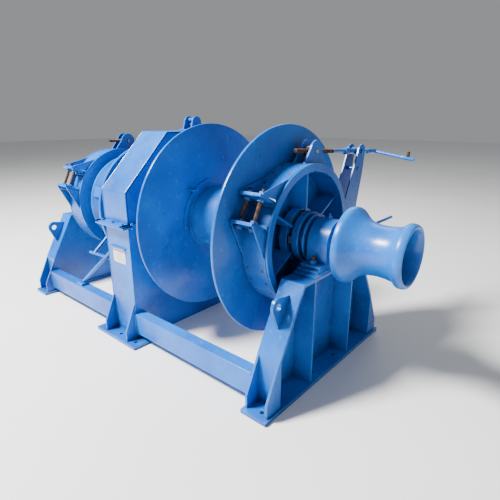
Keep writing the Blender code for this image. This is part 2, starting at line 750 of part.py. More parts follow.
def clutch(side):
    """The sliding jaw on the shaft, the lever that moves it, and the lever's pin on its shelf."""
    x = side.from_brake
    bore = SHAFT_R + RUNNING
    profile = [(0.124, 0.135), (0.112, 0.135), (0.112, 0.105), (0.090, 0.105), (0.090, 0.140)]
    profile += [(0.049, 0.140), (0.049, bore), (0.124, bore)]
    collar = turned([(x(a), r) for a, r in profile], MID)
    lugs = []
    for i in range(JAWS):
        angle = 2 * math.pi * i / JAWS
        low = (x(0.029), 0.093, SHAFT_Z - 0.022)
        high = (x(0.052), 0.137, SHAFT_Z + 0.022)
        lugs.append(box(low, high, angle, (0.0, SHAFT_Z)))
    finish(joined(collar, *lugs), f"{side.name}_clutch_jaw")

    lever_x = x(LEVER_FROM_BRAKE)
    yoke_x = (x(YOKE_FROM_BRAKE - 0.004), x(YOKE_FROM_BRAKE + 0.004))
    yoke_line = arc((0, SHAFT_Z), 0.150, -24, 38, 6) + arc((0, SHAFT_Z), 0.112, 38, -38, 8)
    yoke_line += [(0.105, 0.698), (0.150, 0.698)]
    yoke = plate(yoke_line, *yoke_x)
    arm = box((x(YOKE_FROM_BRAKE - 0.003), 0.131, 0.697), (x(0.112), LEVER_PIVOT_Y, 0.722))
    boss = rod((lever_x, LEVER_PIVOT_Y, 0.6886), (lever_x, LEVER_PIVOT_Y, 0.7304), 0.020, SMALL)
    bar = rod((lever_x, LEVER_PIVOT_Y, LEVER_Z), (lever_x, LEVER_END_Y, LEVER_Z), 0.011, THIN)
    hole = rod((lever_x, LEVER_PIVOT_Y, 0.65), (lever_x, LEVER_PIVOT_Y, 0.76), 0.0110, SMALL)
    finish(cut(joined(boss, arm, yoke, bar), hole), f"{side.name}_clutch_lever")

    base = SHELF_TOP_Z + GAP
    post = rod((lever_x, LEVER_PIVOT_Y, base), (lever_x, LEVER_PIVOT_Y, 0.6880), 0.018, SMALL)
    pin = rod((lever_x, LEVER_PIVOT_Y, base), (lever_x, LEVER_PIVOT_Y, 0.738), 0.0100, SMALL)
    cap = rod((lever_x, LEVER_PIVOT_Y, 0.7310), (lever_x, LEVER_PIVOT_Y, 0.738), 0.018, SMALL)
    finish(joined(post, pin, cap), f"{side.name}_clutch_pin")


# ---------------------------------------------------------------- band brakes


def around(radius, degrees):
    """A point at a distance and direction from the shaft's axis, as (y, z)."""
    angle = math.radians(degrees)
    return (radius * math.cos(angle), SHAFT_Z + radius * math.sin(angle))


def band_strip(inner, outer, start_deg, end_deg, x0, x1):
    """A stretch of band or lining. Its corners keep to one angular grid, so strips stay parallel."""
    step = 360 / BIG
    angles = [start_deg]
    first = math.floor(start_deg / step) + 1
    angles += [i * step for i in range(first, math.ceil(end_deg / step))]
    angles.append(end_deg)
    outline = [around(outer, a) for a in angles] + [around(inner, a) for a in reversed(angles)]
    return plate(outline, x0, x1)


def in_clamp(reach, across_gap):
    """A point at the clamp: out from the shaft's axis, and along the studs from the gap's middle."""
    angle = math.radians(CLAMP_DEG)
    y = reach * math.cos(angle) - across_gap * math.sin(angle)
    z = reach * math.sin(angle) + across_gap * math.cos(angle)
    return (y, SHAFT_Z + z)


def clamp_plate(side, way):
    """One clamp plate with the two gussets that carry it on the band. way is -1 above the gap, 1 below."""
    bx = side.brake_x
    corners = []
    for reach, off in ((0.386, CLAMP_NEAR), (0.505, CLAMP_NEAR), (0.505, CLAMP_FAR), (0.386, CLAMP_FAR)):
        corners.append(in_clamp(reach, way * off))
    flat = plate(corners, bx - 0.068, bx + 0.068)
    gussets = []
    for x in (-0.074, 0.066):
        start = CLAMP_DEG + way * 13.0
        end = CLAMP_DEG + way * 34.0
        foot = arc((0, SHAFT_Z), 0.394, start, end, 3)
        tip = [in_clamp(0.498, way * 0.085), in_clamp(0.498, way * 0.075)]
        gussets.append(plate(foot + tip, bx + x, bx + x + 0.008))
    return [flat, *gussets]


def clamp_holes(side, way):
    """Cutters for a clamp plate's two stud holes."""
    holes = []
    for x in (-CLAMP_STUD_X, CLAMP_STUD_X):
        start = (side.brake_x + x, *in_clamp(CLAMP_REACH, way * 0.05))
        end = (side.brake_x + x, *in_clamp(CLAMP_REACH, way * 0.10))
        holes.append(rod(start, end, STUD_HOLE_R, THIN))
    return holes


def brake_bands(side):
    """Upper and lower half bands with their linings, and the two clamp studs that join them in front."""
    bx = side.brake_x
    x0, x1 = bx - BAND_HALF_W, bx + BAND_HALF_W
    upper = band_strip(BAND_IN_R, BAND_OUT_R, 50, 147, x0, x1)
    ears = []
    for x in (-EAR_X - 0.006, EAR_X - 0.006):
        outline = arc((0, SHAFT_Z), 0.394, 93, 52, 5)
        outline += arc((NUT_Y, NUT_Z), 0.060, 5, 165, 8)
        ears.append(plate(outline, bx + x, bx + x + 0.012, holes=[(NUT_Y, NUT_Z, 0.0130)]))
    body = joined(upper, *ears, *clamp_plate(side, -1))
    finish(cut(body, *clamp_holes(side, -1)), f"{side.name}_upper_band")

    lower = band_strip(BAND_IN_R, BAND_OUT_R, 161, 361, x0, x1)
    tail = [around(0.393, -5.0), around(0.393, 0.0), around(0.393, 4.0)]
    tail += [(0.435, 0.802)] + arc((0.437, SHAFT_Z), 0.022, 80, -80, 6) + [(0.435, 0.758)]
    eye = plate(tail, bx - 0.030, bx + 0.030, holes=[(0.437, SHAFT_Z, 0.0130)])
    body = joined(lower, eye, *clamp_plate(side, 1))
    finish(cut(body, *clamp_holes(side, 1)), f"{side.name}_lower_band")

    spans = {"upper": (54, 144), "lower": (162, 351)}
    for name, (start, end) in spans.items():
        lining = band_strip(LINING_IN_R, LINING_OUT_R, start, end, x0 + 0.006, x1 - 0.006)
        finish(lining, f"{side.name}_{name}_lining", LINING, 0.9)

    for name, x in (("inner", -CLAMP_STUD_X), ("outer", CLAMP_STUD_X)):
        sx = bx + side.out * x
        stem = rod((sx, *in_clamp(CLAMP_REACH, -0.112)), (sx, *in_clamp(CLAMP_REACH, 0.104)), STUD_R, THIN)
        nuts = []
        for start, end in ((-0.0978, -0.0818), (-0.0642, -0.0482), (0.0487, 0.0647), (0.0813, 0.0973)):
            nut = rod((sx, *in_clamp(CLAMP_REACH, start)), (sx, *in_clamp(CLAMP_REACH, end)), NUT_R, 6)
            nuts.append(nut)
        finish(joined(stem, *nuts), f"{side.name}_clamp_stud_{name}", RUST, 0.7, 0.5)


def brake_arms(side):
    """Twin plates on the rear beam: they anchor the lower band and hold the spindle's trunnion."""
    bx = side.brake_x
    foot_z = BEAM_Z[1] + GAP
    outline = [(0.470, foot_z + 0.008), (0.432, 0.480), (0.413, 0.700), (0.413, 0.800), (0.443, 0.870)]
    outline += arc((TRUNNION_Y, TRUNNION_Z), 0.046, 165, 5, 10)
    outline += [(0.672, 1.060), (0.618, 0.835), (0.560, foot_z + 0.008)]
    holes = [(TRUNNION_Y, TRUNNION_Z, 0.0160)]
    plates = []
    for x in (-ARM_X - ARM_T / 2, ARM_X - ARM_T / 2):
        plates.append(plate(outline, bx + x, bx + x + ARM_T, holes=holes))
    foot = box((bx - 0.062, 0.462, foot_z), (bx + 0.062, 0.562, foot_z + 0.016))
    anchor = rod((bx - 0.050, 0.437, SHAFT_Z), (bx + 0.050, 0.437, SHAFT_Z), 0.0122, SMALL)
    tie = rod((bx - 0.048, 0.604, 1.100), (bx + 0.048, 0.604, 1.100), 0.011, THIN)
    lower_tie = rod((bx - 0.040, 0.500, 0.450), (bx + 0.040, 0.500, 0.450), 0.014, THIN)
    finish(joined(foot, *plates, anchor, tie, lower_tie), f"{side.name}_brake_arms")


def spindle_point(side, along, off_x=0.0, up=0.0):
    """A point on the spindle's line: along it from the trunnion, with offsets across it."""
    run = Vector((0.0, TRUNNION_Y - NUT_Y, TRUNNION_Z - NUT_Z)).normalized()
    rise = Vector((0.0, -run.z, run.y))
    place = Vector((side.brake_x, TRUNNION_Y, TRUNNION_Z)) + run * along + rise * up
    return place + Vector((off_x, 0.0, 0.0))


def brake_screw(side):
    """The nut in the band's ears, the trunnion in the arms, the threaded spindle and its crank."""
    bx = side.brake_x
    length = math.dist((NUT_Y, NUT_Z), (TRUNNION_Y, TRUNNION_Z))
    barrel = rod((bx - 0.0258, NUT_Y, NUT_Z), (bx + 0.0258, NUT_Y, NUT_Z), 0.027, 16)
    pins = rod((bx - 0.044, NUT_Y, NUT_Z), (bx + 0.044, NUT_Y, NUT_Z), 0.0122, SMALL)
    hole = rod(spindle_point(side, -length - 0.05), spindle_point(side, -length + 0.05), 0.0142, SMALL)
    finish(cut(joined(barrel, pins), hole), f"{side.name}_spindle_nut", STEEL, 0.4, 0.9)

    half = ARM_X - ARM_T / 2 - 0.0008
    centre = (TRUNNION_Y, TRUNNION_Z)
    body = rod((bx - half, *centre), (bx + half, *centre), 0.027, 16)
    pivots = rod((bx - 0.050, *centre), (bx + 0.050, *centre), 0.0150, SMALL)
    sleeve = rod(spindle_point(side, SLEEVE_FRONT), spindle_point(side, SLEEVE_BACK), 0.022, SMALL)
    bore_ends = (spindle_point(side, SLEEVE_FRONT - 0.05), spindle_point(side, 0.08))
    bore = rod(*bore_ends, SPINDLE_R + RUNNING, SMALL)
    finish(cut(joined(body, pivots, sleeve), bore), f"{side.name}_trunnion")

    stem = rod(spindle_point(side, -0.700), spindle_point(side, 0.300), SPINDLE_R, SMALL)
    back_ends = (spindle_point(side, SLEEVE_BACK + GAP), spindle_point(side, SLEEVE_BACK + 0.014))
    back = rod(*back_ends, 0.020, SMALL)
    front_ends = (spindle_point(side, SLEEVE_FRONT - 0.012), spindle_point(side, SLEEVE_FRONT - GAP))
    front = rod(*front_ends, 0.020, SMALL)
    finish(joined(stem, back, front), f"{side.name}_spindle", STEEL, 0.45, 0.8)

    def on_crank(reach, up=0.0):
        """A point on the crank's own line, out from the spindle."""
        swing = side.out * reach * math.cos(CRANK_DROP)
        return spindle_point(side, 0.278, swing, -reach * math.sin(CRANK_DROP) + up)

    socket = rod(spindle_point(side, 0.150), spindle_point(side, 0.298), 0.0170, SMALL)
    arm = rod(on_crank(0.0), on_crank(CRANK_ARM), 0.0115, THIN, 0.0105)
    eye = rod(on_crank(CRANK_ARM - 0.012), on_crank(CRANK_ARM + 0.088), 0.0130, 8, 0.0110)
    stud = rod(on_crank(CRANK_ARM + 0.040), on_crank(CRANK_ARM + 0.040, 0.046), 0.0115, THIN)
    hole = rod(spindle_point(side, 0.140), spindle_point(side, 0.3003), SPINDLE_R + GAP, SMALL)
    finish(cut(joined(socket, arm, eye, stud), hole), f"{side.name}_crank")


def build():
    """Makes every piece."""
    for side in (NEAR, FAR):
        pedestal(side)
        bearing(side)
        brake_drum(side)
        brake_bands(side)
        brake_arms(side)
        brake_screw(side)
        clutch(side)
    beams()
    gearbox_lower_casing()
    gearbox_upper_casing()
    gearbox_fittings()
    gears()
    hydraulic_motor()
    main_shaft()
    warping_head()
    rope_drum()
    chain_wheel()
    chain_stripper()


clear_scene()
PARTS = collection("anchor_windlass")
CUTTERS = collection("cutters", shown=False)
build()
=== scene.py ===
"""Looks of the anchor windlass: painted plate work, machined wheels, band brakes, screws and fittings.

Every piece is made in the CAD model's own frame: X along the main shaft, -Y to the front, Z up, metres.
"""

import logging
import math
from dataclasses import dataclass
from enum import Enum
from typing import Iterable, Optional, Sequence

import bmesh
import bpy
from mathutils import Matrix, Vector


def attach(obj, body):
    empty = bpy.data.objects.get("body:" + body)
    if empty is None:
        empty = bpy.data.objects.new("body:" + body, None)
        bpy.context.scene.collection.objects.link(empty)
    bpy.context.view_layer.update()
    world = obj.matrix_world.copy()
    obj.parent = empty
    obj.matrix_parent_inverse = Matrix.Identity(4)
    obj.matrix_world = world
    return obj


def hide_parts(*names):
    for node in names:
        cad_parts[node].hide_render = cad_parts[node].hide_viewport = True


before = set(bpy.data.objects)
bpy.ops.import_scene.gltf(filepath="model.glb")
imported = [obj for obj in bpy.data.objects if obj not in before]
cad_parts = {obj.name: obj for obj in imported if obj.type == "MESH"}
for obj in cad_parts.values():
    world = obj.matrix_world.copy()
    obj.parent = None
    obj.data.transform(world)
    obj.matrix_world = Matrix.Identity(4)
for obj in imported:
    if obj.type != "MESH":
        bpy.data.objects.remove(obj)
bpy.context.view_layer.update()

LOG = logging.getLogger("windlass")

SHAFT_Z = 0.780
SHAFT_R = 0.060
BORE_R = 0.061
BEAM_TOP = 0.1953
FOOT_WELD_Z = 0.0235
GAP = 0.0003

Socket = bpy.types.NodeSocket
Material = bpy.types.Material
Pair = tuple[float, float]
Point = tuple[float, float, float]
Outline = Sequence[Pair]


# ---------------------------------------------------------------- finishes


class Recipe:
    """A material's node tree, built from a few plain steps."""

    def __init__(self, name: str, metallic: float = 0.0) -> None:
        """Starts an empty material.

        Args:
            name: The material's name.
            metallic: The metallic value, the same all over.
        """
        self.material = bpy.data.materials.new(name)
        self.material.use_nodes = True
        self.tree = self.material.node_tree
        self.shader = self.tree.nodes["Principled BSDF"]
        self.shader.inputs["Metallic"].default_value = metallic
        self.place = self.tree.nodes.new("ShaderNodeTexCoord").outputs["Object"]

    def node(
        self,
        kind: str,
        inputs: Optional[dict[str, object]] = None,
        **settings: object,
    ) -> bpy.types.Node:
        """Adds a node.

        Args:
            kind: The node's type without its ShaderNode prefix.
            inputs: Values or sockets for its inputs.
            **settings: The node's own properties.

        Returns:
            The new node.
        """
        made = self.tree.nodes.new("ShaderNode" + kind)
        for key, value in settings.items():
            setattr(made, key, value)
        for key, value in (inputs or {}).items():
            if isinstance(value, Socket):
                self.tree.links.new(value, made.inputs[key])
            else:
                made.inputs[key].default_value = value
        return made

    def noise(self, scale: float, detail: float = 4.0, stretch: Point = (1.0, 1.0, 1.0)) -> Socket:
        """Makes noise over the piece.

        Args:
            scale: Cells in a metre.
            detail: Octaves of finer noise.
            stretch: How much finer the noise is along each direction.

        Returns:
            The noise's value, around one half.
        """
        mapping = self.node("Mapping", {"Vector": self.place, "Scale": stretch})
        texture = self.node("TexNoise", {"Vector": mapping.outputs[0], "Scale": scale, "Detail": detail})
        return texture.outputs[0]

    def spread(self, value: Socket, low: Pair, high: Pair) -> Socket:
        """Maps a value so that low[0] gives low[1] and high[0] gives high[1], held at both ends."""
        ends = {"Value": value, "From Min": low[0], "To Min": low[1], "From Max": high[0], "To Max": high[1]}
        return self.node("MapRange", ends).outputs[0]

    def ramp(self, value: Socket, stops: Sequence[tuple[float, Point]]) -> Socket:
        """Turns a value into a colour.

        Args:
            value: The value.
            stops: Places from 0 to 1, each with its linear colour.

        Returns:
            The colour.
        """
        made = self.node("ValToRGB", {"Fac": value})
        elements = made.color_ramp.elements
        while len(elements) < len(stops):
            elements.new(0.5)
        for element, (place, colour) in zip(elements, stops):
            element.position = place
            element.color = (*colour, 1.0)
        return made.outputs[0]

    def blend(self, amount: object, first: object, second: object, kind: str = "MIX") -> Socket:
        """Mixes two colours.

        Args:
            amount: How much of the second shows, as a number or a socket.
            first: The colour underneath, as a socket or a linear colour.
            second: The colour on top, as a socket or a linear colour.
            kind: How they mix.

        Returns:
            The mixed colour.
        """
        made = self.node("MixRGB", {"Fac": amount}, blend_type=kind)
        for key, value in (("Color1", first), ("Color2", second)):
            if isinstance(value, Socket):
                self.tree.links.new(value, made.inputs[key])
            else:
                made.inputs[key].default_value = (*value, 1.0)
        return made.outputs[0]

    def times(self, first: Socket, second: object, kind: str = "MULTIPLY") -> Socket:
        """Combines two numbers.

        Args:
            first: The first number.
            second: The second, as a socket or a number.
            kind: The operation.

        Returns:
            The result.
        """
        made = self.node("Math", operation=kind)
        self.tree.links.new(first, made.inputs[0])
        if isinstance(second, Socket):
            self.tree.links.new(second, made.inputs[1])
        else:
            made.inputs[1].default_value = second
        return made.outputs[0]

    def edges(self, radius: float) -> Socket:
        """Finds sharp edges.

        Args:
            radius: How far the mark reaches from an edge, in metres.

        Returns:
            One at an edge, and nothing on a flat.
        """
        rounded = self.node("Bevel", {"Radius": radius}, samples=4).outputs[0]
        flat = self.node("NewGeometry").outputs["Normal"]
        across = self.node("VectorMath", {0: rounded, 1: flat}, operation="DOT_PRODUCT")
        return self.spread(across.outputs["Value"], (0.86, 1.0), (0.99, 0.0))

    def corners(self, reach: float) -> Socket:
        """Gives one in the open and less in a deep corner, over a distance in metres."""
        return self.node("AmbientOcclusion", {"Distance": reach}, samples=6).outputs["AO"]

    def surface(self, colour: object, roughness: object, bumps: Sequence[tuple[Socket, float]]) -> None:
        """Feeds the shader.

        Args:
            colour: The base colour.
            roughness: The roughness, as a socket or a number.
            bumps: Heights, each with its depth in metres.
        """
        for key, value in (("Base Color", colour), ("Roughness", roughness)):
            if isinstance(value, Socket):
                self.tree.links.new(value, self.shader.inputs[key])
            else:
                self.shader.inputs[key].default_value = value
        normal = None
        for height, depth in bumps:
            ends: dict[str, object] = {"Height": height, "Distance": depth, "Strength": 1.0}
            if normal is not None:
                ends["Normal"] = normal
            normal = self.node("Bump", ends).outputs[0]
        if normal is not None:
            self.tree.links.new(normal, self.shader.inputs["Normal"])


@dataclass(frozen=True)
class MarinePaint:
    """Thick gloss enamel: brushed over weld and plate, pale where it is thin, worn pale on its edges with a
    painted highlight along them, and darkened by painted shade in the corners.
    """

    name: str = "marine_paint"
    deep: Point = (0.0010, 0.060, 0.300)
    body: Point = (0.0020, 0.115, 0.480)
    pale: Point = (0.0040, 0.190, 0.660)
    # Pale blue of worn paint, used for the random scuffs and also as the painted highlight along the edges.
    wear_and_highlight: Point = (0.030, 0.370, 0.840)
    # Grey that the paint is multiplied towards as painted shade in corners and recesses.
    painted_shade: Point = (0.16, 0.17, 0.20)
    primer: Point = (0.045, 0.028, 0.022)

    def make(self) -> Material:
        """Builds the paint.

        Returns:
            The material.
        """
        mix = Recipe(self.name)
        cloud = mix.noise(2.6, 6.0)
        colour = mix.ramp(cloud, [(0.30, self.deep), (0.52, self.body), (0.78, self.pale)])
        streak = mix.noise(5.0, 5.0, (1.0, 1.0, 0.16))
        colour = mix.blend(mix.spread(streak, (0.50, 0.0), (0.75, 0.22)), colour, self.pale)
        scuff = mix.noise(42.0, 7.0)
        colour = mix.blend(mix.spread(scuff, (0.62, 0.0), (0.72, 0.35)), colour, self.wear_and_highlight)
        # Every sharp edge is lightened towards the pale worn colour, varied by noise: partly worn paint,
        # partly a painted highlight along the edges.
        edge = mix.times(mix.edges(0.0026), mix.spread(mix.noise(18.0, 5.0), (0.36, 0.15), (0.60, 0.85)))
        colour = mix.blend(edge, colour, self.wear_and_highlight)
        # Painted shade: ambient occlusion, varied by noise, multiplies the colour towards grey in corners,
        # recesses and between parts.
        open_air = mix.times(mix.corners(0.070), mix.spread(mix.noise(14.0), (0.3, 0.85), (0.7, 1.15)))
        painted_shade = mix.ramp(open_air, [(0.20, self.painted_shade), (0.75, (1.0, 1.0, 1.0))])
        colour = mix.blend(0.75, colour, painted_shade, "MULTIPLY")
        chip = mix.spread(mix.noise(75.0, 3.0), (0.735, 0.0), (0.750, 0.8))
        colour = mix.blend(chip, colour, self.primer)
        roughness = mix.spread(mix.noise(9.0, 6.0), (0.30, 0.22), (0.72, 0.44))
        peel = mix.noise(260.0, 2.0)
        sag = mix.noise(16.0, 3.0, (1.0, 1.0, 0.5))
        mix.surface(colour, roughness, [(sag, 0.0016), (peel, 0.00022)])
        mix.shader.inputs["Coat Weight"].default_value = 0.12
        mix.shader.inputs["Coat Roughness"].default_value = 0.14
        mix.shader.inputs["Specular IOR Level"].default_value = 0.42
        return mix.material


@dataclass(frozen=True)
class TurnedSteel:
    """Oiled machined steel with fine tool marks round the shaft and a little staining."""

    name: str = "turned_steel"
    light: Point = (0.48, 0.47, 0.45)
    dark: Point = (0.16, 0.14, 0.12)
    bright: Point = (0.62, 0.61, 0.60)

    def make(self) -> Material:
        """Builds the steel.

        Returns:
            The material.
        """
        mix = Recipe(self.name, metallic=1.0)
        colour = mix.ramp(mix.noise(9.0, 7.0), [(0.32, self.dark), (0.56, self.light)])
        marks = mix.noise(30.0, 3.0, (26.0, 1.0, 1.0))
        colour = mix.blend(mix.spread(marks, (0.4, 0.0), (0.6, 0.25)), colour, self.bright)
        roughness = mix.spread(mix.noise(15.0, 5.0), (0.3, 0.22), (0.7, 0.5))
        mix.surface(colour, roughness, [(marks, 0.00025)])
        return mix.material


@dataclass(frozen=True)
class RustyThread:
    """Bare thread that has rusted: dark brown with orange bloom and worn steel on the crests."""

    name: str = "rusty_thread"
    pit: Point = (0.020, 0.013, 0.011)
    rust: Point = (0.085, 0.036, 0.016)
    bloom: Point = (0.210, 0.085, 0.028)
    crest: Point = (0.30, 0.27, 0.25)

    def make(self) -> Material:
        """Builds the rust.

        Returns:
            The material.
        """
        mix = Recipe(self.name, metallic=0.25)
        colour = mix.ramp(mix.noise(48.0, 8.0), [(0.30, self.pit), (0.52, self.rust), (0.76, self.bloom)])
        bright = mix.times(mix.edges(0.0012), mix.spread(mix.noise(60.0), (0.45, 0.0), (0.60, 0.6)))
        colour = mix.blend(bright, colour, self.crest)
        roughness = mix.spread(mix.noise(70.0), (0.3, 0.60), (0.7, 0.92))
        mix.surface(colour, roughness, [(mix.noise(320.0, 6.0), 0.0007)])
        return mix.material


@dataclass(frozen=True)
class BearingBronze:
    """Bronze of the bearing bushes, dulled by grease."""

    name: str = "bearing_bronze"
    dull: Point = (0.20, 0.11, 0.045)
    light: Point = (0.55, 0.36, 0.16)

    def make(self) -> Material:
        """Builds the bronze.

        Returns:
            The material.
        """
        mix = Recipe(self.name, metallic=1.0)
        colour = mix.ramp(mix.noise(22.0, 6.0), [(0.32, self.dull), (0.65, self.light)])
        roughness = mix.spread(mix.noise(30.0), (0.3, 0.28), (0.7, 0.5))
        mix.surface(colour, roughness, [(mix.noise(90.0), 0.0003)])
        return mix.material


@dataclass(frozen=True)
class BrakeLining:
    """Woven friction lining: matt brown-black with metal flecks and dust."""

    name: str = "brake_lining"
    gap: Point = (0.035, 0.028, 0.022)
    fibre: Point = (0.095, 0.075, 0.058)
    fleck: Point = (0.40, 0.30, 0.14)

    def make(self) -> Material:
        """Builds the lining.

        Returns:
            The material.
        """
        mix = Recipe(self.name)
        weave = mix.node("TexVoronoi", {"Vector": mix.place, "Scale": 210.0}).outputs["Distance"]
        colour = mix.ramp(weave, [(0.12, self.gap), (0.60, self.fibre)])
        flecks = mix.spread(mix.noise(260.0, 2.0), (0.66, 0.0), (0.70, 0.8))
        colour = mix.blend(flecks, colour, self.fleck)
        mix.surface(colour, mix.spread(weave, (0.0, 0.95), (0.7, 0.75)), [(weave, 0.0005)])
        return mix.material


@dataclass(frozen=True)
class PlateMetal:
    """Pale data plate with a red band and plain grey ruled rows, with no words on it."""

    name: str = "ruled_plate"
    top: float = 0.612
    height: float = 0.094
    rows: float = 11.0
    ink: Point = (0.30, 0.26, 0.27)
    red: Point = (0.55, 0.10, 0.08)

    def window(self, mix: Recipe, value: Socket, low: Pair, high: Pair) -> Socket:
        """Gives one between two soft steps, up from low[0] to low[1] and down from high[0] to high[1]."""
        rise = mix.spread(value, (low[0], 0.0), (low[1], 1.0))
        return mix.times(rise, mix.spread(value, (high[0], 1.0), (high[1], 0.0)))

    def make(self) -> Material:
        """Builds the plate's face.

        Returns:
            The material.
        """
        mix = Recipe(self.name, metallic=0.15)
        place = mix.node("SeparateXYZ", {0: mix.place})
        rise = mix.spread(place.outputs["Z"], (self.top - self.height, 0.0), (self.top, 1.0))
        row = mix.times(mix.times(rise, self.rows), 1.0, "MODULO")
        broken = mix.spread(mix.noise(90.0, 2.0, (1.0, 1.0, 0.1)), (0.44, 0.0), (0.50, 1.0))
        ruled = mix.times(mix.spread(row, (0.52, 0.0), (0.60, 1.0)), broken)
        inside = self.window(mix, rise, (0.08, 0.10), (0.70, 0.72))
        side = self.window(mix, place.outputs["X"], (-0.060, -0.058), (0.058, 0.060))
        colour = mix.ramp(mix.noise(12.0), [(0.3, (0.62, 0.60, 0.58)), (0.7, (0.80, 0.78, 0.76))])
        colour = mix.blend(mix.times(ruled, mix.times(inside, side)), colour, self.ink)
        band = mix.times(self.window(mix, rise, (0.78, 0.79), (0.92, 0.93)), side)
        colour = mix.blend(mix.times(band, 0.8), colour, self.red)
        roughness = mix.spread(mix.noise(40.0), (0.3, 0.28), (0.7, 0.50))
        mix.surface(colour, roughness, [(mix.noise(80.0), 0.0003)])
        return mix.material


@dataclass(frozen=True)
class StudioFloor:
    """Pale matt floor."""

    name: str = "studio_floor"

    def make(self) -> Material:
        """Builds the floor's finish.

        Returns:
            The material.
        """
        mix = Recipe(self.name)
        colour = mix.ramp(mix.noise(0.8, 2.0), [(0.3, (0.80, 0.80, 0.80)), (0.7, (0.84, 0.84, 0.84))])
        mix.surface(colour, 0.85, [])
        return mix.material


class Dress(Enum):
    """The finishes, each with the record's material slot that it stands for."""

    PAINT = (MarinePaint(), "blue_paint")
    STEEL = (TurnedSteel(), "bare_steel")
    RUST = (RustyThread(), "rusty_fixings")
    BRONZE = (BearingBronze(), "bronze")
    LINING = (BrakeLining(), "friction_lining")
    PLATE = (PlateMetal(), "plate_metal")

    def material(self) -> Material:
        """The finish's material, made once."""
        finish = self.value[0]
        return bpy.data.materials.get(finish.name) or finish.make()

    def slot(self) -> str:
        """The record's material slot."""
        return self.value[1]


# ---------------------------------------------------------------- shaping


def arc(centre: Pair, radius: float, start: float, end: float, steps: int) -> list[Pair]:
    """Points of a round stretch as (y, z) pairs, both ends included.

    Args:
        centre: Its centre.
        radius: Its radius.
        start: Its first angle in degrees, from +Y towards +Z.
        end: Its last angle in degrees.
        steps: How many chords it has.

    Returns:
        The points in order.
    """
    angles = [math.radians(start + (end - start) * i / steps) for i in range(steps + 1)]
    return [(centre[0] + radius * math.cos(a), centre[1] + radius * math.sin(a)) for a in angles]


def around(radius: float, degrees: float, across: float = 0.0) -> Pair:
    """A point out from the shaft's axis, as (y, z).

    Args:
        radius: How far out it is.
        degrees: The direction, from +Y towards +Z.
        across: How far it is to the side of that direction.

    Returns:
        The point.
    """
    angle = math.radians(degrees)
    y = radius * math.cos(angle) - across * math.sin(angle)
    return (y, SHAFT_Z + radius * math.sin(angle) + across * math.cos(angle))


def outward(degrees: float) -> Point:
    """The direction away from the shaft's axis."""
    return (0.0, math.cos(math.radians(degrees)), math.sin(math.radians(degrees)))


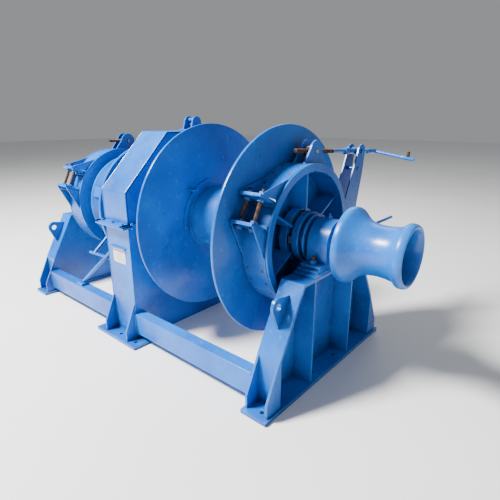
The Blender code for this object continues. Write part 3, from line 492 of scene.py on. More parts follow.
class Shape:
    """A piece in the making: plain solids gathered in one mesh, then rounded, dressed and fitted."""

    def __init__(self, name: str) -> None:
        """Starts a piece with nothing in it."""
        self.name = name
        self.mesh = bmesh.new()

    def _take(self, mesh: bpy.types.Mesh, matrix: Optional[Matrix] = None) -> "Shape":
        """Adds a mesh's faces and drops the mesh.

        Args:
            mesh: The mesh.
            matrix: Where it goes.

        Returns:
            The shape itself.
        """
        if matrix is not None:
            mesh.transform(matrix)
        self.mesh.from_mesh(mesh)
        bpy.data.meshes.remove(mesh)
        return self

    def node(self, name: str) -> "Shape":
        """Adds a copy of a CAD node's shape, its flat faces joined again so that edges can be rounded.

        Args:
            name: The node's name.

        Returns:
            The shape itself.
        """
        copied = bmesh.new()
        copied.from_mesh(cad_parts[name].data)
        bmesh.ops.remove_doubles(copied, verts=copied.verts, dist=0.00005)
        limit = math.radians(0.5)
        bmesh.ops.dissolve_limit(copied, angle_limit=limit, verts=copied.verts, edges=copied.edges)
        mesh = bpy.data.meshes.new("copy")
        copied.to_mesh(mesh)
        copied.free()
        return self._take(mesh)

    def box(self, low: Point, high: Point, turn: float = 0.0, about: Pair = (0.0, SHAFT_Z)) -> "Shape":
        """Adds a box.

        Args:
            low: One corner.
            high: The opposite corner.
            turn: Turn about the X direction in radians.
            about: The (y, z) point it turns about.

        Returns:
            The shape itself.
        """
        a = Vector([min(pair) for pair in zip(low, high)])
        b = Vector([max(pair) for pair in zip(low, high)])
        made = bmesh.new()
        bmesh.ops.create_cube(made, size=1.0)
        bmesh.ops.scale(made, vec=b - a, verts=made.verts)
        bmesh.ops.translate(made, vec=(a + b) / 2, verts=made.verts)
        matrix = Matrix.Rotation(turn, 3, "X")
        bmesh.ops.rotate(made, cent=(0.0, *about), matrix=matrix, verts=made.verts)
        mesh = bpy.data.meshes.new("box")
        made.to_mesh(mesh)
        made.free()
        return self._take(mesh)

    def lathe(
        self,
        profile: Outline,
        origin: Point = (0.0, 0.0, SHAFT_Z),
        way: Point = (1.0, 0.0, 0.0),
        sides: int = 96,
        closed: bool = False,
    ) -> "Shape":
        """Adds a turned solid.

        Args:
            profile: Pairs of distance along the axis and radius.
            origin: Where the axis starts.
            way: The axis's direction.
            sides: How many sides stand for the round.
            closed: Whether the profile is a loop, as for a ring.

        Returns:
            The shape itself.
        """
        made = bmesh.new()
        rings = []
        for along, radius in profile:
            ring = []
            for i in range(1 if radius < 1e-6 else sides):
                angle = 2 * math.pi * i / sides
                ring.append(made.verts.new((radius * math.cos(angle), radius * math.sin(angle), along)))
            rings.append(ring)
        pairs = list(zip(rings, rings[1:]))
        if closed:
            pairs.append((rings[-1], rings[0]))
        for first, second in pairs:
            for i in range(sides):
                j = (i + 1) % sides
                corners = [first[i % len(first)], first[j % len(first)]]
                corners += [second[j % len(second)], second[i % len(second)]]
                loop = list(dict.fromkeys(corners))
                if len(loop) > 2:
                    made.faces.new(loop)
        for ring in (rings[0], rings[-1]):
            if not closed and len(ring) > 1:
                made.faces.new(ring)
        bmesh.ops.recalc_face_normals(made, faces=made.faces)
        mesh = bpy.data.meshes.new("lathe")
        made.to_mesh(mesh)
        made.free()
        turn = Vector((0, 0, 1)).rotation_difference(Vector(way)).to_matrix().to_4x4()
        return self._take(mesh, Matrix.Translation(origin) @ turn)

    def rod(
        self,
        start: Point,
        end: Point,
        radius: float,
        sides: int = 28,
        bevel: float = 0.0015,
    ) -> "Shape":
        """Adds a round bar with eased ends, or a nut when it has six sides.

        Args:
            start: The middle of one end.
            end: The middle of the other.
            radius: Its radius.
            sides: How many sides it has.
            bevel: How far its ends are eased.

        Returns:
            The shape itself.
        """
        way = Vector(end) - Vector(start)
        length = way.length
        profile = [(0, 0), (0, radius - bevel), (bevel, radius), (length - bevel, radius)]
        profile += [(length, radius - bevel), (length, 0)]
        return self.lathe(profile, start, tuple(way.normalized()), sides)

    def thread(self, start: Point, end: Point, radius: float, pitch: float, depth: float) -> "Shape":
        """Adds a threaded bar, its crests as close rings.

        Args:
            start: Its first end.
            end: Its other end.
            radius: The crests' radius.
            pitch: From crest to crest.
            depth: From crest to root.

        Returns:
            The shape itself.
        """
        way = Vector(end) - Vector(start)
        profile = [(0.0, 0.0), (0.0, radius - depth)]
        turns = max(1, int(way.length / pitch))
        for i in range(turns):
            profile.append(((i + 0.35) * pitch, radius))
            profile.append(((i + 0.55) * pitch, radius))
            profile.append(((i + 0.95) * pitch, radius - depth))
        profile += [(way.length, radius - depth), (way.length, 0.0)]
        return self.lathe(profile, start, tuple(way.normalized()), 20)

    def weld(self, start: Point, end: Point, radius: float = 0.0045) -> "Shape":
        """Adds a rippled weld bead along a straight joint.

        Args:
            start: Its first end.
            end: Its other end.
            radius: Its radius.

        Returns:
            The shape itself.
        """
        way = Vector(end) - Vector(start)
        count = max(2, int(way.length / 0.007))
        step = way.length / count
        profile = [(0.0, 0.0)]
        for i in range(count):
            wobble = 1.0 + 0.10 * math.sin(i * 12.9898)
            profile.append(((i + 0.20) * step, radius * wobble))
            profile.append(((i + 0.85) * step, radius * 0.80))
        profile.append((way.length, 0.0))
        return self.lathe(profile, start, tuple(way.normalized()), 8)

    def ring_weld(self, x: float, radius: float, bead: float = 0.005) -> "Shape":
        """Adds a weld fillet round the shaft's axis, on a joint between a wheel and its hub.

        Args:
            x: Where it is along the shaft.
            radius: The joint's radius.
            bead: The bead's radius.

        Returns:
            The shape itself.
        """
        profile = [(x + bead * math.cos(a), radius + bead * math.sin(a)) for a in (0.0, 0.8, 1.6, 2.4, 3.14)]
        profile += [(x - bead, radius - 0.003), (x + bead, radius - 0.003)]
        return self.lathe(profile, closed=True)

    def plate(self, outline: Outline, x0: float, x1: float, holes: Iterable[Outline] = ()) -> "Shape":
        """Adds a flat plate that stands across X.

        Args:
            outline: Its outer line as (y, z) pairs.
            x0: One face.
            x1: The other face.
            holes: Outlines of the holes through it.

        Returns:
            The shape itself.
        """
        curve = bpy.data.curves.new("plate", "CURVE")
        curve.dimensions = "2D"
        curve.fill_mode = "BOTH"
        curve.extrude = abs(x1 - x0) / 2
        for loop in (outline, *holes):
            spline = curve.splines.new("POLY")
            spline.points.add(len(loop) - 1)
            for point, (y, z) in zip(spline.points, loop):
                point.co = (y, z, 0.0, 1.0)
            spline.use_cyclic_u = True
        drawn = bpy.data.objects.new("plate", curve)
        bpy.context.scene.collection.objects.link(drawn)
        bpy.context.view_layer.update()
        mesh = bpy.data.meshes.new_from_object(drawn.evaluated_get(bpy.context.evaluated_depsgraph_get()))
        bpy.data.objects.remove(drawn, do_unlink=True)
        made = bmesh.new()
        made.from_mesh(mesh)
        bmesh.ops.remove_doubles(made, verts=made.verts, dist=0.00005)
        bmesh.ops.dissolve_limit(made, angle_limit=0.01, verts=made.verts, edges=made.edges)
        bmesh.ops.recalc_face_normals(made, faces=made.faces)
        made.to_mesh(mesh)
        made.free()
        upright = Matrix(((0, 0, 1, (x0 + x1) / 2), (1, 0, 0, 0), (0, 1, 0, 0), (0, 0, 0, 1)))
        return self._take(mesh, upright)

    def bolt(self, at: Point, way: Point, radius: float = 0.013, height: float = 0.011) -> "Shape":
        """Adds a hexagon head on its washer.

        Args:
            at: Where it stands on a face.
            way: The direction it points in.
            radius: The head's radius.
            height: The head's height over its washer.

        Returns:
            The shape itself.
        """
        out = Vector(way).normalized()
        base = Vector(at)
        self.rod(tuple(base), tuple(base + out * 0.003), radius * 1.25, 24, 0.0006)
        top = base + out * (0.003 + height)
        return self.rod(tuple(base + out * 0.002), tuple(top), radius, 6, 0.0014)

    def done(
        self,
        dress: Dress,
        body: str,
        stands_for: Sequence[str] = (),
        bevel: float = 0.0016,
        levels: int = 2,
    ) -> bpy.types.Object:
        """Finishes the piece.

        Args:
            dress: Its finish.
            body: The CAD body that it rides on.
            stands_for: The CAD nodes that it takes the place of.
            bevel: How far its edges are rounded, in metres, or zero.
            levels: How many faces a rounded edge has.

        Returns:
            The finished object.
        """
        mesh = bpy.data.meshes.new(self.name)
        self.mesh.to_mesh(mesh)
        self.mesh.free()
        obj = bpy.data.objects.new(self.name, mesh)
        bpy.context.scene.collection.objects.link(obj)
        mesh.materials.append(dress.material())
        if bevel:
            eased = obj.modifiers.new("eased", "BEVEL")
            eased.width = bevel
            eased.segments = levels
            eased.limit_method = "ANGLE"
            eased.angle_limit = math.radians(32)
            eased.use_clamp_overlap = True
            flats = obj.modifiers.new("flats", "WEIGHTED_NORMAL")
            flats.weight = 100
            flats.keep_sharp = True
        mesh.shade_smooth()
        mesh.set_sharp_from_angle(angle=math.radians(180 if bevel else 38))
        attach(obj, body)
        if stands_for:
            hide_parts(*stands_for)
        LOG.info("%s rides on %s", self.name, body)
        return obj


# ---------------------------------------------------------------- the windlass's two ends


@dataclass(frozen=True)
class End:
    """One end of the windlass, near the warping head or far from it."""

    name: str
    out: int
    web_x: float
    brake_x: float
    wheel_body: str
    guard_r: float

    def web(self, distance: float) -> float:
        """An X position, outward from the pedestal's web."""
        return self.web_x + self.out * distance

    def brake(self, distance: float) -> float:
        """An X position, outward from the brake's middle."""
        return self.brake_x + self.out * distance


NEAR = End("near", 1, 1.125, 1.005, "drum", 0.378)
FAR = End("far", -1, -1.085, -0.805, "cable_lifter", 0.405)


@dataclass
class Pedestal:
    """A bearing stand: softened plate edges, weld beads and the block that carries the shaft."""

    end: End
    foot_y: float = 0.505
    knee_z: float = 0.287
    top_y: float = 0.314
    top_z: float = 0.632
    rib_y: float = 0.205
    stud_y: float = 0.1465
    housing_r: float = 0.120

    def build(self) -> None:
        """Builds the stand, the block, the bush and the studs."""
        self.stand()
        self.block()
        self.bush()
        for place, y in (("front", -self.stud_y), ("rear", self.stud_y)):
            self.stud(place, y)
        self.lever_pin()

    def stand(self) -> None:
        """Builds the plate work with its welds."""
        x = self.end.web
        shape = Shape(f"{self.end.name}_stand").node(f"{self.end.name}_pedestal")
        shape.done(Dress.PAINT, "frame", [f"{self.end.name}_pedestal"], bevel=0.0022)
        welds = Shape(f"{self.end.name}_stand_welds")
        face = x(0.014)
        for y in (-self.rib_y, self.rib_y):
            for side in (-0.0075, 0.0075):
                welds.weld((face, y + side, 0.026), (face, y + side, 0.612))
                welds.weld((face, y + side, FOOT_WELD_Z), (x(0.136), y + side, FOOT_WELD_Z))
        for hand in (-1, 1):
            inner = hand * (self.foot_y - 0.0175)
            welds.weld((face, inner, 0.026), (face, inner, self.knee_z))
            knee = (face, hand * (self.foot_y - 0.0165), self.knee_z)
            welds.weld(knee, (face, hand * (self.top_y - 0.008), self.top_z - 0.018))
            outer = hand * (self.foot_y + 0.0015)
            welds.weld((face, outer, FOOT_WELD_Z), (x(0.128), outer, FOOT_WELD_Z))
        welds.weld((face, -0.300, self.top_z - 0.0175), (face, 0.300, self.top_z - 0.0175))
        welds.weld((face, -0.480, FOOT_WELD_Z), (face, 0.480, FOOT_WELD_Z))
        welds.done(Dress.PAINT, "frame", bevel=0)

    def block(self) -> None:
        """Builds the bearing housing with its end covers and grease nipple."""
        x = self.end.web
        low, foot, half = 0.6643, 0.684, 0.175
        outline = [(-half, low), (-half, foot), (-self.housing_r, foot)]
        outline += arc((0.0, SHAFT_Z), self.housing_r, 180, 0, 64)
        outline += [(self.housing_r, foot), (half, foot), (half, low)]
        bore = arc((0.0, SHAFT_Z), 0.0753, 0, 354, 59)
        shape = Shape(f"{self.end.name}_block").plate(outline, x(0.020), x(0.140), [bore])
        for face, way in ((0.020, -1), (0.140, 1)):
            edge = x(face)
            lip = edge + self.end.out * way * 0.0022
            shape.lathe([(edge, 0.112), (lip, 0.110), (lip, 0.078), (edge, 0.078)], closed=True)
        nipple = [(0, 0), (0, 0.012), (0.012, 0.012), (0.014, 0.006), (0.026, 0.006), (0.030, 0.0)]
        shape.lathe(nipple, (x(0.080), 0.0, SHAFT_Z + self.housing_r - 0.002), (0, 0, 1), 24)
        shape.done(Dress.PAINT, "frame", [f"{self.end.name}_bearing_housing"], bevel=0.0030, levels=3)

    def bush(self) -> None:
        """Builds the bronze bush."""
        x = self.end.web
        profile = [(x(0.018), 0.0735), (x(0.0195), 0.075), (x(0.1405), 0.075), (x(0.142), 0.0735)]
        profile += [(x(0.142), 0.063), (x(0.140), BORE_R), (x(0.020), BORE_R), (x(0.018), 0.063)]
        shape = Shape(f"{self.end.name}_bush").lathe(profile, closed=True)
        shape.done(Dress.BRONZE, "frame", [f"{self.end.name}_bearing_bush"], bevel=0)

    def stud(self, place: str, y: float) -> None:
        """Builds one holding-down stud with its nuts and washers.

        Args:
            place: Which of the two studs, front or rear.
            y: Its Y position.
        """
        x = self.end.web(0.080)
        shape = Shape(f"{self.end.name}_stud_{place}")
        shape.thread((x, y, 0.590), (x, y, 0.728), 0.010, 0.0030, 0.0013)
        shape.done(Dress.RUST, "frame", [f"{self.end.name}_bearing_stud_{place}"], bevel=0)
        nuts = Shape(f"{self.end.name}_stud_nuts_{place}")
        nuts.rod((x, y, 0.6843), (x, y, 0.6873), 0.0215, 32, 0.0008)
        nuts.rod((x, y, 0.6870), (x, y, 0.7050), 0.0192, 6, 0.0020)
        nuts.rod((x, y, 0.5977), (x, y, 0.6157), 0.0190, 6, 0.0018)
        nuts.done(Dress.PAINT, "frame", bevel=0)

    def lever_pin(self) -> None:
        """Builds the clutch lever's post and pin on the stand's shelf."""
        x = self.end.brake(0.118)
        profile = [(0.0, 0.0), (0.0, 0.018), (0.006, 0.018), (0.012, 0.0155), (0.1150, 0.0155)]
        profile += [(0.1277, 0.018), (0.1277, 0.010), (0.1708, 0.010), (0.1708, 0.018), (0.1762, 0.018)]
        profile += [(0.1777, 0.0165), (0.1777, 0.0)]
        shape = Shape(f"{self.end.name}_lever_post").lathe(profile, (x, 0.4, 0.5603), (0, 0, 1), 40)
        shape.done(Dress.PAINT, "frame", [f"{self.end.name}_clutch_pin"], bevel=0)


@dataclass
class Base:
    """The four box beams with rolled corners, and the chain bar with its strut."""

    corner: float = 0.008
    bead: float = 0.0015

    def build(self) -> None:
        """Builds the beams with their end welds, and the chain bar."""
        bays = {"near": (0.1273, 1.1247), "far": (-1.0847, -0.1273)}
        for bay, (x0, x1) in bays.items():
            for place, hand in (("front", -1), ("rear", 1)):
                name = f"{bay}_{place}_beam"
                shape = Shape(f"{name}_rolled").node(name)
                shape.done(Dress.PAINT, "frame", [name], bevel=self.corner, levels=4)
                welds = Shape(f"{name}_welds")
                for x in (x0 + self.bead, x1 - self.bead):
                    for y in (hand * 0.4740, hand * 0.5510):
                        welds.weld((x, y, 0.062), (x, y, 0.188))
                    welds.weld((x, hand * 0.481, 0.1960), (x, hand * 0.544, 0.1960))
                welds.done(Dress.PAINT, "frame", bevel=0)
        self.chain_bar()

    def chain_bar(self) -> None:
        """Builds the bar that keeps the chain off the casing, with its strut and finger."""
        face, y = -0.1273, -0.450
        shape = Shape("chain_bar").box((face - 0.010, y - 0.035, 0.440), (face, y + 0.030, 0.640))
        shape.rod((face - 0.009, y, 0.470), (-0.560, y, 0.452), 0.011)
        shape.rod((face - 0.009, y, 0.612), (-0.610, -0.510, 0.216), 0.012)
        shape.rod((-0.300, y - 0.02, 0.469), (-0.300, y + 0.006, 0.458), 0.010)
        shape.box((-0.645, -0.542, BEAM_TOP), (-0.575, -0.483, 0.215))
        shape.rod((-0.500, y, 0.454), (-0.500, -0.262, 0.612), 0.012)
        shape.bolt((-0.632, -0.513, 0.2148), (0, 0, 1), 0.009, 0.008)
        shape.bolt((-0.588, -0.497, 0.2148), (0, 0, 1), 0.009, 0.008)
        shape.done(Dress.PAINT, "frame", ["chain_stripper"])


@dataclass
class Gearbox:
    """The casing with its bolted split, shaft covers, lifting bracket, data plate and motor."""

    half_x: float = 0.127
    half_y: float = 0.540
    flange_x: float = 0.157
    flange_y: float = 0.595
    flange_t: float = 0.010
    bead: float = 0.0035
    motor_z: float = 0.202

    def build(self) -> None:
        """Builds every piece of the gearbox."""
        lower = Shape("casing_lower").node("gearbox_lower_casing")
        lower.done(Dress.PAINT, "frame", ["gearbox_lower_casing"], bevel=0.0025)
        self.hood()
        self.split_bolts()
        self.seams()
        for name, out in (("near", 1), ("far", -1)):
            self.cover(name, out)
        self.bracket()
        self.plate()
        self.motor()
        for name in ("main_gear", "pinion_shaft"):
            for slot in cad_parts[name].material_slots:
                slot.material = Dress.STEEL.material()

    def hood(self) -> None:
        """Builds the casing's upper half: a folded cover, two side walls and the rim that is bolted down."""
        low, wall = SHAFT_Z + GAP, 0.012
        x, y = self.half_x, self.half_y
        front = [(-y, low), (-y, 0.985), (-0.200, 1.330)]
        inside = [(-y + wall, low), (-y + wall, 0.980), (-0.195, 1.318)]
        cover = front + [(-a, b) for a, b in front[::-1]]
        lining = inside + [(-a, b) for a, b in inside[::-1]]
        shape = Shape("casing_upper").plate(cover + lining[::-1], -x, x)
        notch = arc((0.0, low), 0.1103, 180, 0, 40)
        side = [(-y + 0.004, low), *notch, (y - 0.004, low), (y - 0.004, 0.983), (0.198, 1.327)]
        side += [(-0.198, 1.327), (-y + 0.004, 0.983)]
        for out in (-1, 1):
            shape.plate(side, out * (x - wall), out * x)
            for hand in (-1, 1):
                rim = (out * (x - wall), hand * 0.1535, low)
                shape.box(rim, (out * self.flange_x, hand * self.flange_y, low + self.flange_t))
        for hand in (-1, 1):
            rim = (-self.flange_x, hand * (y - wall), low)
            shape.box(rim, (self.flange_x, hand * self.flange_y, low + self.flange_t))
        shape.done(Dress.PAINT, "frame", ["gearbox_upper_casing"], bevel=0.0025)

    def split_bolts(self) -> None:
        """Builds the bolts that hold the casing's two halves together."""
        shape = Shape("casing_bolts")
        rows = (-0.52, -0.42, -0.32, -0.22, 0.22, 0.32, 0.42, 0.52)
        spots = [(hand * 0.142, y) for hand in (-1, 1) for y in rows]
        spots += [(x, hand * 0.568) for hand in (-1, 1) for x in (-0.11, 0.0, 0.11)]
        for x, y in spots:
            shape.bolt((x, y, SHAFT_Z + self.flange_t), (0, 0, 1), 0.0095, 0.008)
            shape.bolt((x, y, SHAFT_Z - self.flange_t), (0, 0, -1), 0.0095, 0.008)
        shape.done(Dress.PAINT, "frame", bevel=0)

    def seams(self) -> None:
        """Builds the weld beads down the casing's corners and round its feet."""
        shape = Shape("casing_welds")
        x, y = self.half_x, self.half_y
        for hand in (-1, 1):
            for side in (-1, 1):
                corner = (hand * (x - 0.0005), side * (y - 0.0005))
                shape.weld((*corner, 0.030), (*corner, 0.768), self.bead)
                shape.weld((*corner, 0.792), (*corner, 0.984), self.bead)
                shape.weld((*corner, 0.986), (corner[0], side * 0.2005, 1.329), self.bead)
            end = hand * (y + 0.0015)
            shape.weld((-0.112, end, FOOT_WELD_Z), (0.112, end, FOOT_WELD_Z))
            face = hand * (x + 0.0015)
            shape.weld((face, -0.536, FOOT_WELD_Z), (face, -0.452, FOOT_WELD_Z))
            shape.weld((face, 0.452, FOOT_WELD_Z), (face, 0.536, FOOT_WELD_Z))
        shape.done(Dress.PAINT, "frame", bevel=0)

    def cover(self, name: str, out: int) -> None:
        """Builds the cover of one shaft bearing, with its screws and seal.

        Args:
            name: The gearbox's side, near or far.
            out: The direction of that side along X.
        """
        face = out * (self.half_x + GAP)
        top = out * (self.half_x + 0.017)
        profile = [(out * 0.115, 0.1094), (face, 0.1094), (face, 0.150), (top - out * 0.002, 0.150)]
        profile += [(top, 0.148), (top, 0.092), (top - out * 0.004, 0.088), (top - out * 0.004, 0.068)]
        profile += [(top, 0.066), (top, BORE_R), (out * 0.115, BORE_R)]
        shape = Shape(f"shaft_cover_{name}").lathe(profile, closed=True)
        for i in range(8):
            y, z = around(0.128, 22.5 + 45 * i)
            shape.bolt((top - out * 0.0005, y, z), (out, 0, 0), 0.009, 0.006)
        shape.done(Dress.PAINT, "frame", [f"gearbox_{name}_bearing"], bevel=0)

    def bracket(self) -> None:
        """Builds the lifting bracket on the casing's top."""
        top = 1.3303
        shape = Shape("lifting_eye").box((-0.060, 0.060, top), (0.060, 0.200, top + 0.010))
        for x in (-0.046, 0.034):
            eye = arc((0.130, 1.386), 0.040, 180, 0, 28)
            shape.plate([(0.072, top + 0.005), *eye, (0.188, top + 0.005)], x, x + 0.012)
        shape.rod((-0.040, 0.130, 1.402), (0.040, 0.130, 1.402), 0.013)
        shape.rod((-0.052, 0.130, 1.372), (0.052, 0.130, 1.372), 0.009)
        for x, y in ((-0.053, 0.068), (-0.053, 0.192), (0.053, 0.068), (0.053, 0.192)):
            shape.weld((x - 0.006, y, top + 0.002), (x + 0.006, y, top + 0.002), 0.004)
        shape.done(Dress.PAINT, "frame", ["lifting_bracket"])

    def plate(self) -> None:
        """Builds the data plate and its four rivets."""
        front = -self.half_y - GAP
        shape = Shape("data_plate_face").box((-0.068, front - 0.0022, 0.518), (0.068, front, 0.612))
        shape.done(Dress.PLATE, "frame", ["data_plate"], bevel=0.0008)
        rivets = Shape("data_plate_rivets")
        for x in (-0.062, 0.062):
            for z in (0.524, 0.606):
                profile = [(0.0, 0.0), (0.0, 0.0035), (0.0012, 0.003), (0.0020, 0.0015), (0.0022, 0.0)]
                rivets.lathe(profile, (x, front - 0.0020, z), (0, -1, 0), 20)
        rivets.done(Dress.STEEL, "frame", bevel=0)

    def motor(self) -> None:
        """Builds the hydraulic motor with its cover bolts and ports."""
        face, z = -self.half_x - GAP, self.motor_z
        flange = [(-0.012, 0.038), (-0.012, 0.059), (0.0, 0.059), (0.0, 0.105), (0.018, 0.105)]
        flange += [(0.020, 0.103)]
        body = [(0.020, 0.092), (0.028, 0.088), (0.060, 0.088), (0.062, 0.084), (0.066, 0.084)]
        body += [(0.068, 0.088), (0.150, 0.088), (0.156, 0.094), (0.208, 0.094), (0.222, 0.080)]
        hollow = [(0.222, 0.020), (0.075, 0.020), (0.075, 0.038)]
        profile = [(face - away, radius) for away, radius in flange + body + hollow]
        shape = Shape("drive_motor").lathe(profile, (0, 0, z), closed=True)
        shape.rod((face - 0.2215, 0, z), (face - 0.10, 0, z), 0.030)
        for y, up in arc((0.0, 0.0), 0.097, 0, 300, 5):
            shape.bolt((face - 0.0195, y, z + up), (-1, 0, 0), 0.0062, 0.007)
        for x in (face - 0.165, face - 0.200):
            shape.rod((x, 0.05, z), (x, 0.120, z), 0.014)
            shape.rod((x, 0.090, z), (x, 0.112, z), 0.017, 6)
        shape.done(Dress.PAINT, "frame", ["hydraulic_motor"], bevel=0)


@dataclass
class ShaftLine:
    """The main shaft with its warping head and the disc that keeps it on."""

    end_r: float = 0.050
    head_bore: float = 0.0503
    shoulder: float = 1.300
    end_x: float = 1.565

    def build(self) -> None:
        """Builds the shaft, the head and the disc."""
        profile = [(-1.262, 0.0), (-1.262, 0.056), (-1.258, SHAFT_R), (self.shoulder - 0.001, SHAFT_R)]
        profile += [(self.shoulder, 0.059), (self.shoulder, self.end_r), (self.end_x, self.end_r)]
        profile += [(self.end_x, 0.0)]
        Shape("shaft_bar").lathe(profile).done(Dress.STEEL, "shaft", ["main_shaft"], bevel=0)
        self.head()
        self.disc()

    def head(self) -> None:
        """Builds the warping head, hollow and ribbed at its open end."""
        lip = [(1.6520, 0.1330), (1.6580, 0.1380), (1.6600, 0.1460), (1.6575, 0.1530), (1.6500, 0.1575)]
        lip += [(1.6380, 0.1600), (1.6250, 0.1600), (1.6160, 0.1560), (1.6080, 0.1480), (1.6000, 0.1410)]
        saddle = [(1.5860, 0.1362), (1.5650, 0.1322), (1.5400, 0.1294), (1.5150, 0.1280), (1.4880, 0.1290)]
        saddle += [(1.4600, 0.1325), (1.4360, 0.1385), (1.4150, 0.1480), (1.3980, 0.1600), (1.3800, 0.1760)]
        skirt = [(1.3660, 0.1900), (1.3570, 0.1970), (1.3500, 0.1995), (1.3300, 0.2000), (1.3260, 0.1985)]
        skirt += [(1.3250, 0.1955)]
        bore = [(1.3250, self.head_bore), (self.end_x, self.head_bore), (self.end_x, 0.0640)]
        mouth = [(1.5630, 0.0660), (1.5020, 0.0700), (1.5000, 0.0760), (1.5000, 0.0980)]
        mouth += [(1.5040, 0.1040), (1.6000, 0.1200), (1.6300, 0.1260)]
        profile = lip + saddle + skirt + bore + mouth
        shape = Shape("warping_drum").lathe(profile, sides=128, closed=True)
        shape.done(Dress.PAINT, "shaft", ["warping_head"], bevel=0)
        ribs = Shape("warping_drum_ribs")
        corners = ((0.062, -0.005), (0.114, -0.005), (0.114, 0.005), (0.062, 0.005))
        for i in range(4):
            ribs.plate([around(radius, 8 + 90 * i, across) for radius, across in corners], 1.490, 1.552)
        ribs.done(Dress.PAINT, "shaft", bevel=0.0015)

    def disc(self) -> None:
        """Builds the end disc and its bolts."""
        start = 1.5653
        profile = [(0, 0), (0, 0.080), (0.011, 0.080), (0.013, 0.078), (0.013, 0.0)]
        shape = Shape("end_disc").lathe(profile, (start, 0, SHAFT_Z), sides=64)
        shape.rod((start + 0.012, 0, SHAFT_Z), (start + 0.028, 0, SHAFT_Z), 0.024, 6, 0.002)
        for i in range(3):
            y, z = around(0.055, 90 + 120 * i)
            shape.bolt((start + 0.013, y, z), (1, 0, 0), 0.009, 0.007)
        shape.done(Dress.PAINT, "shaft", ["warping_head_retainer"], bevel=0)


@dataclass
class RopeDrum:
    """The rope drum: two large flanges on a barrel, with rope clamps and weld fillets."""

    flange_r: float = 0.600
    flange_t: float = 0.016
    near_x: float = 0.925
    far_x: float = 0.303
    barrel_r: float = 0.210
    ease: float = 0.0035

    def build(self) -> None:
        """Builds the barrel with its far flange, and the near flange."""
        face = self.far_x + self.flange_t
        end = self.near_x - self.flange_t - GAP
        self.barrel(face, end)
        profile = [(self.near_x - self.flange_t, BORE_R), *self.rim(self.near_x - self.flange_t, self.near_x)]
        profile += [(self.near_x, BORE_R)]
        shape = Shape("near_flange").lathe(profile, sides=160, closed=True)
        shape.done(Dress.PAINT, "drum", ["drum_near_flange"], bevel=0)
        self.fittings(face, end)

    def rim(self, start: float, stop: float) -> list[Pair]:
        """The eased outer edge of a flange, from one face to the other.

        Args:
            start: The first face's place along the shaft.
            stop: The other face's place.

        Returns:
            Pairs of distance along the shaft and radius.
        """
        edge = math.copysign(self.ease, stop - start)
        low, middle = self.flange_r - self.ease, self.flange_r - self.ease * 0.3
        points = [(start, low), (start + edge * 0.3, middle), (start + edge, self.flange_r)]
        return points + [(stop - edge, self.flange_r), (stop - edge * 0.3, middle), (stop, low)]

    def barrel(self, face: float, end: float) -> None:
        """Builds the barrel with its far flange and boss.

        Args:
            face: The far flange's inner face.
            end: The barrel's near end.
        """
        far, inner = self.far_x, 0.194
        profile = [(end, self.barrel_r), (face, self.barrel_r), *self.rim(face, far)]
        profile += [(far, 0.118), (far - 0.003, 0.115), (far - 0.040, 0.115), (far - 0.042, 0.113)]
        profile += [(far - 0.042, BORE_R), (face + 0.004, BORE_R), (face + 0.004, inner), (end, inner)]
        shape = Shape("barrel").lathe(profile, sides=160, closed=True)
        shape.done(Dress.PAINT, "drum", ["rope_drum"], bevel=0)

    def fittings(self, face: float, end: float) -> None:
        """Builds the welds at the barrel's ends and the rope clamp on the far flange.

        Args:
            face: The far flange's inner face.
            end: The barrel's near end.
        """
        welds = Shape("barrel_welds").ring_weld(face + 0.0005, self.barrel_r + 0.0005, 0.006)
        welds.ring_weld(end - 0.0005, self.barrel_r + 0.0005, 0.006)
        welds.done(Dress.PAINT, "drum", bevel=0)
        clamp = Shape("rope_clamp")
        strip = arc((0, SHAFT_Z), 0.262, 96, 200, 48) + arc((0, SHAFT_Z), 0.242, 200, 96, 48)
        clamp.plate(strip, face - 0.001, face + 0.009)
        for angle in (110, 148, 186):
            y, z = around(0.252, angle)
            clamp.bolt((face + 0.0085, y, z), (1, 0, 0), 0.007, 0.005)
        y, z = around(0.286, 134)
        clamp.box((face - 0.001, y - 0.020, z - 0.005), (face + 0.062, y + 0.020, z + 0.005))
        clamp.weld((face + 0.002, y - 0.018, z + 0.006), (face + 0.002, y + 0.018, z + 0.006), 0.004)
        clamp.done(Dress.PAINT, "drum", bevel=0.001)


@dataclass
class ChainWheel:
    """The cable lifter: a pocketed groove between flanges and a large disc beside the gearbox."""

    pockets: int = 5
    disc_r: float = 0.455

    def build(self) -> None:
        """Builds the wheel and the teeth of its pockets."""
        web = -0.715 + GAP
        rim, ease = self.disc_r, self.disc_r - 0.003
        disc = [(-0.335, ease), (-0.338, rim), (-0.355, rim), (-0.358, ease), (-0.360, 0.420)]
        groove = [(-0.366, 0.350), (-0.378, 0.334), (-0.440, 0.285), (-0.456, 0.256), (-0.475, 0.218)]
        groove += [(-0.486, 0.215), (-0.514, 0.215), (-0.525, 0.218), (-0.544, 0.256), (-0.560, 0.285)]
        groove += [(-0.622, 0.334), (-0.634, 0.350), (-0.650, 0.350), (-0.654, 0.346)]
        hub = [(-0.654, 0.142), (-0.660, 0.135), (web, 0.135), (web, BORE_R), (-0.240, BORE_R)]
        hub += [(-0.240, 0.112), (-0.243, 0.115), (-0.328, 0.115), (-0.335, 0.122)]
        shape = Shape("cable_wheel").lathe(disc + groove + hub, sides=144, closed=True)
        shape.done(Dress.PAINT, "cable_lifter", ["chain_wheel"], bevel=0)
        teeth = Shape("cable_wheel_teeth")
        for i in range(self.pockets):
            turn = 2 * math.pi * (i + 0.25) / self.pockets
            for low_x, high_x in ((-0.462, -0.360), (-0.640, -0.538)):
                teeth.box((low_x, 0.205, SHAFT_Z - 0.040), (high_x, 0.342, SHAFT_Z + 0.040), turn)
        teeth.done(Dress.PAINT, "cable_lifter", bevel=0.010, levels=3)


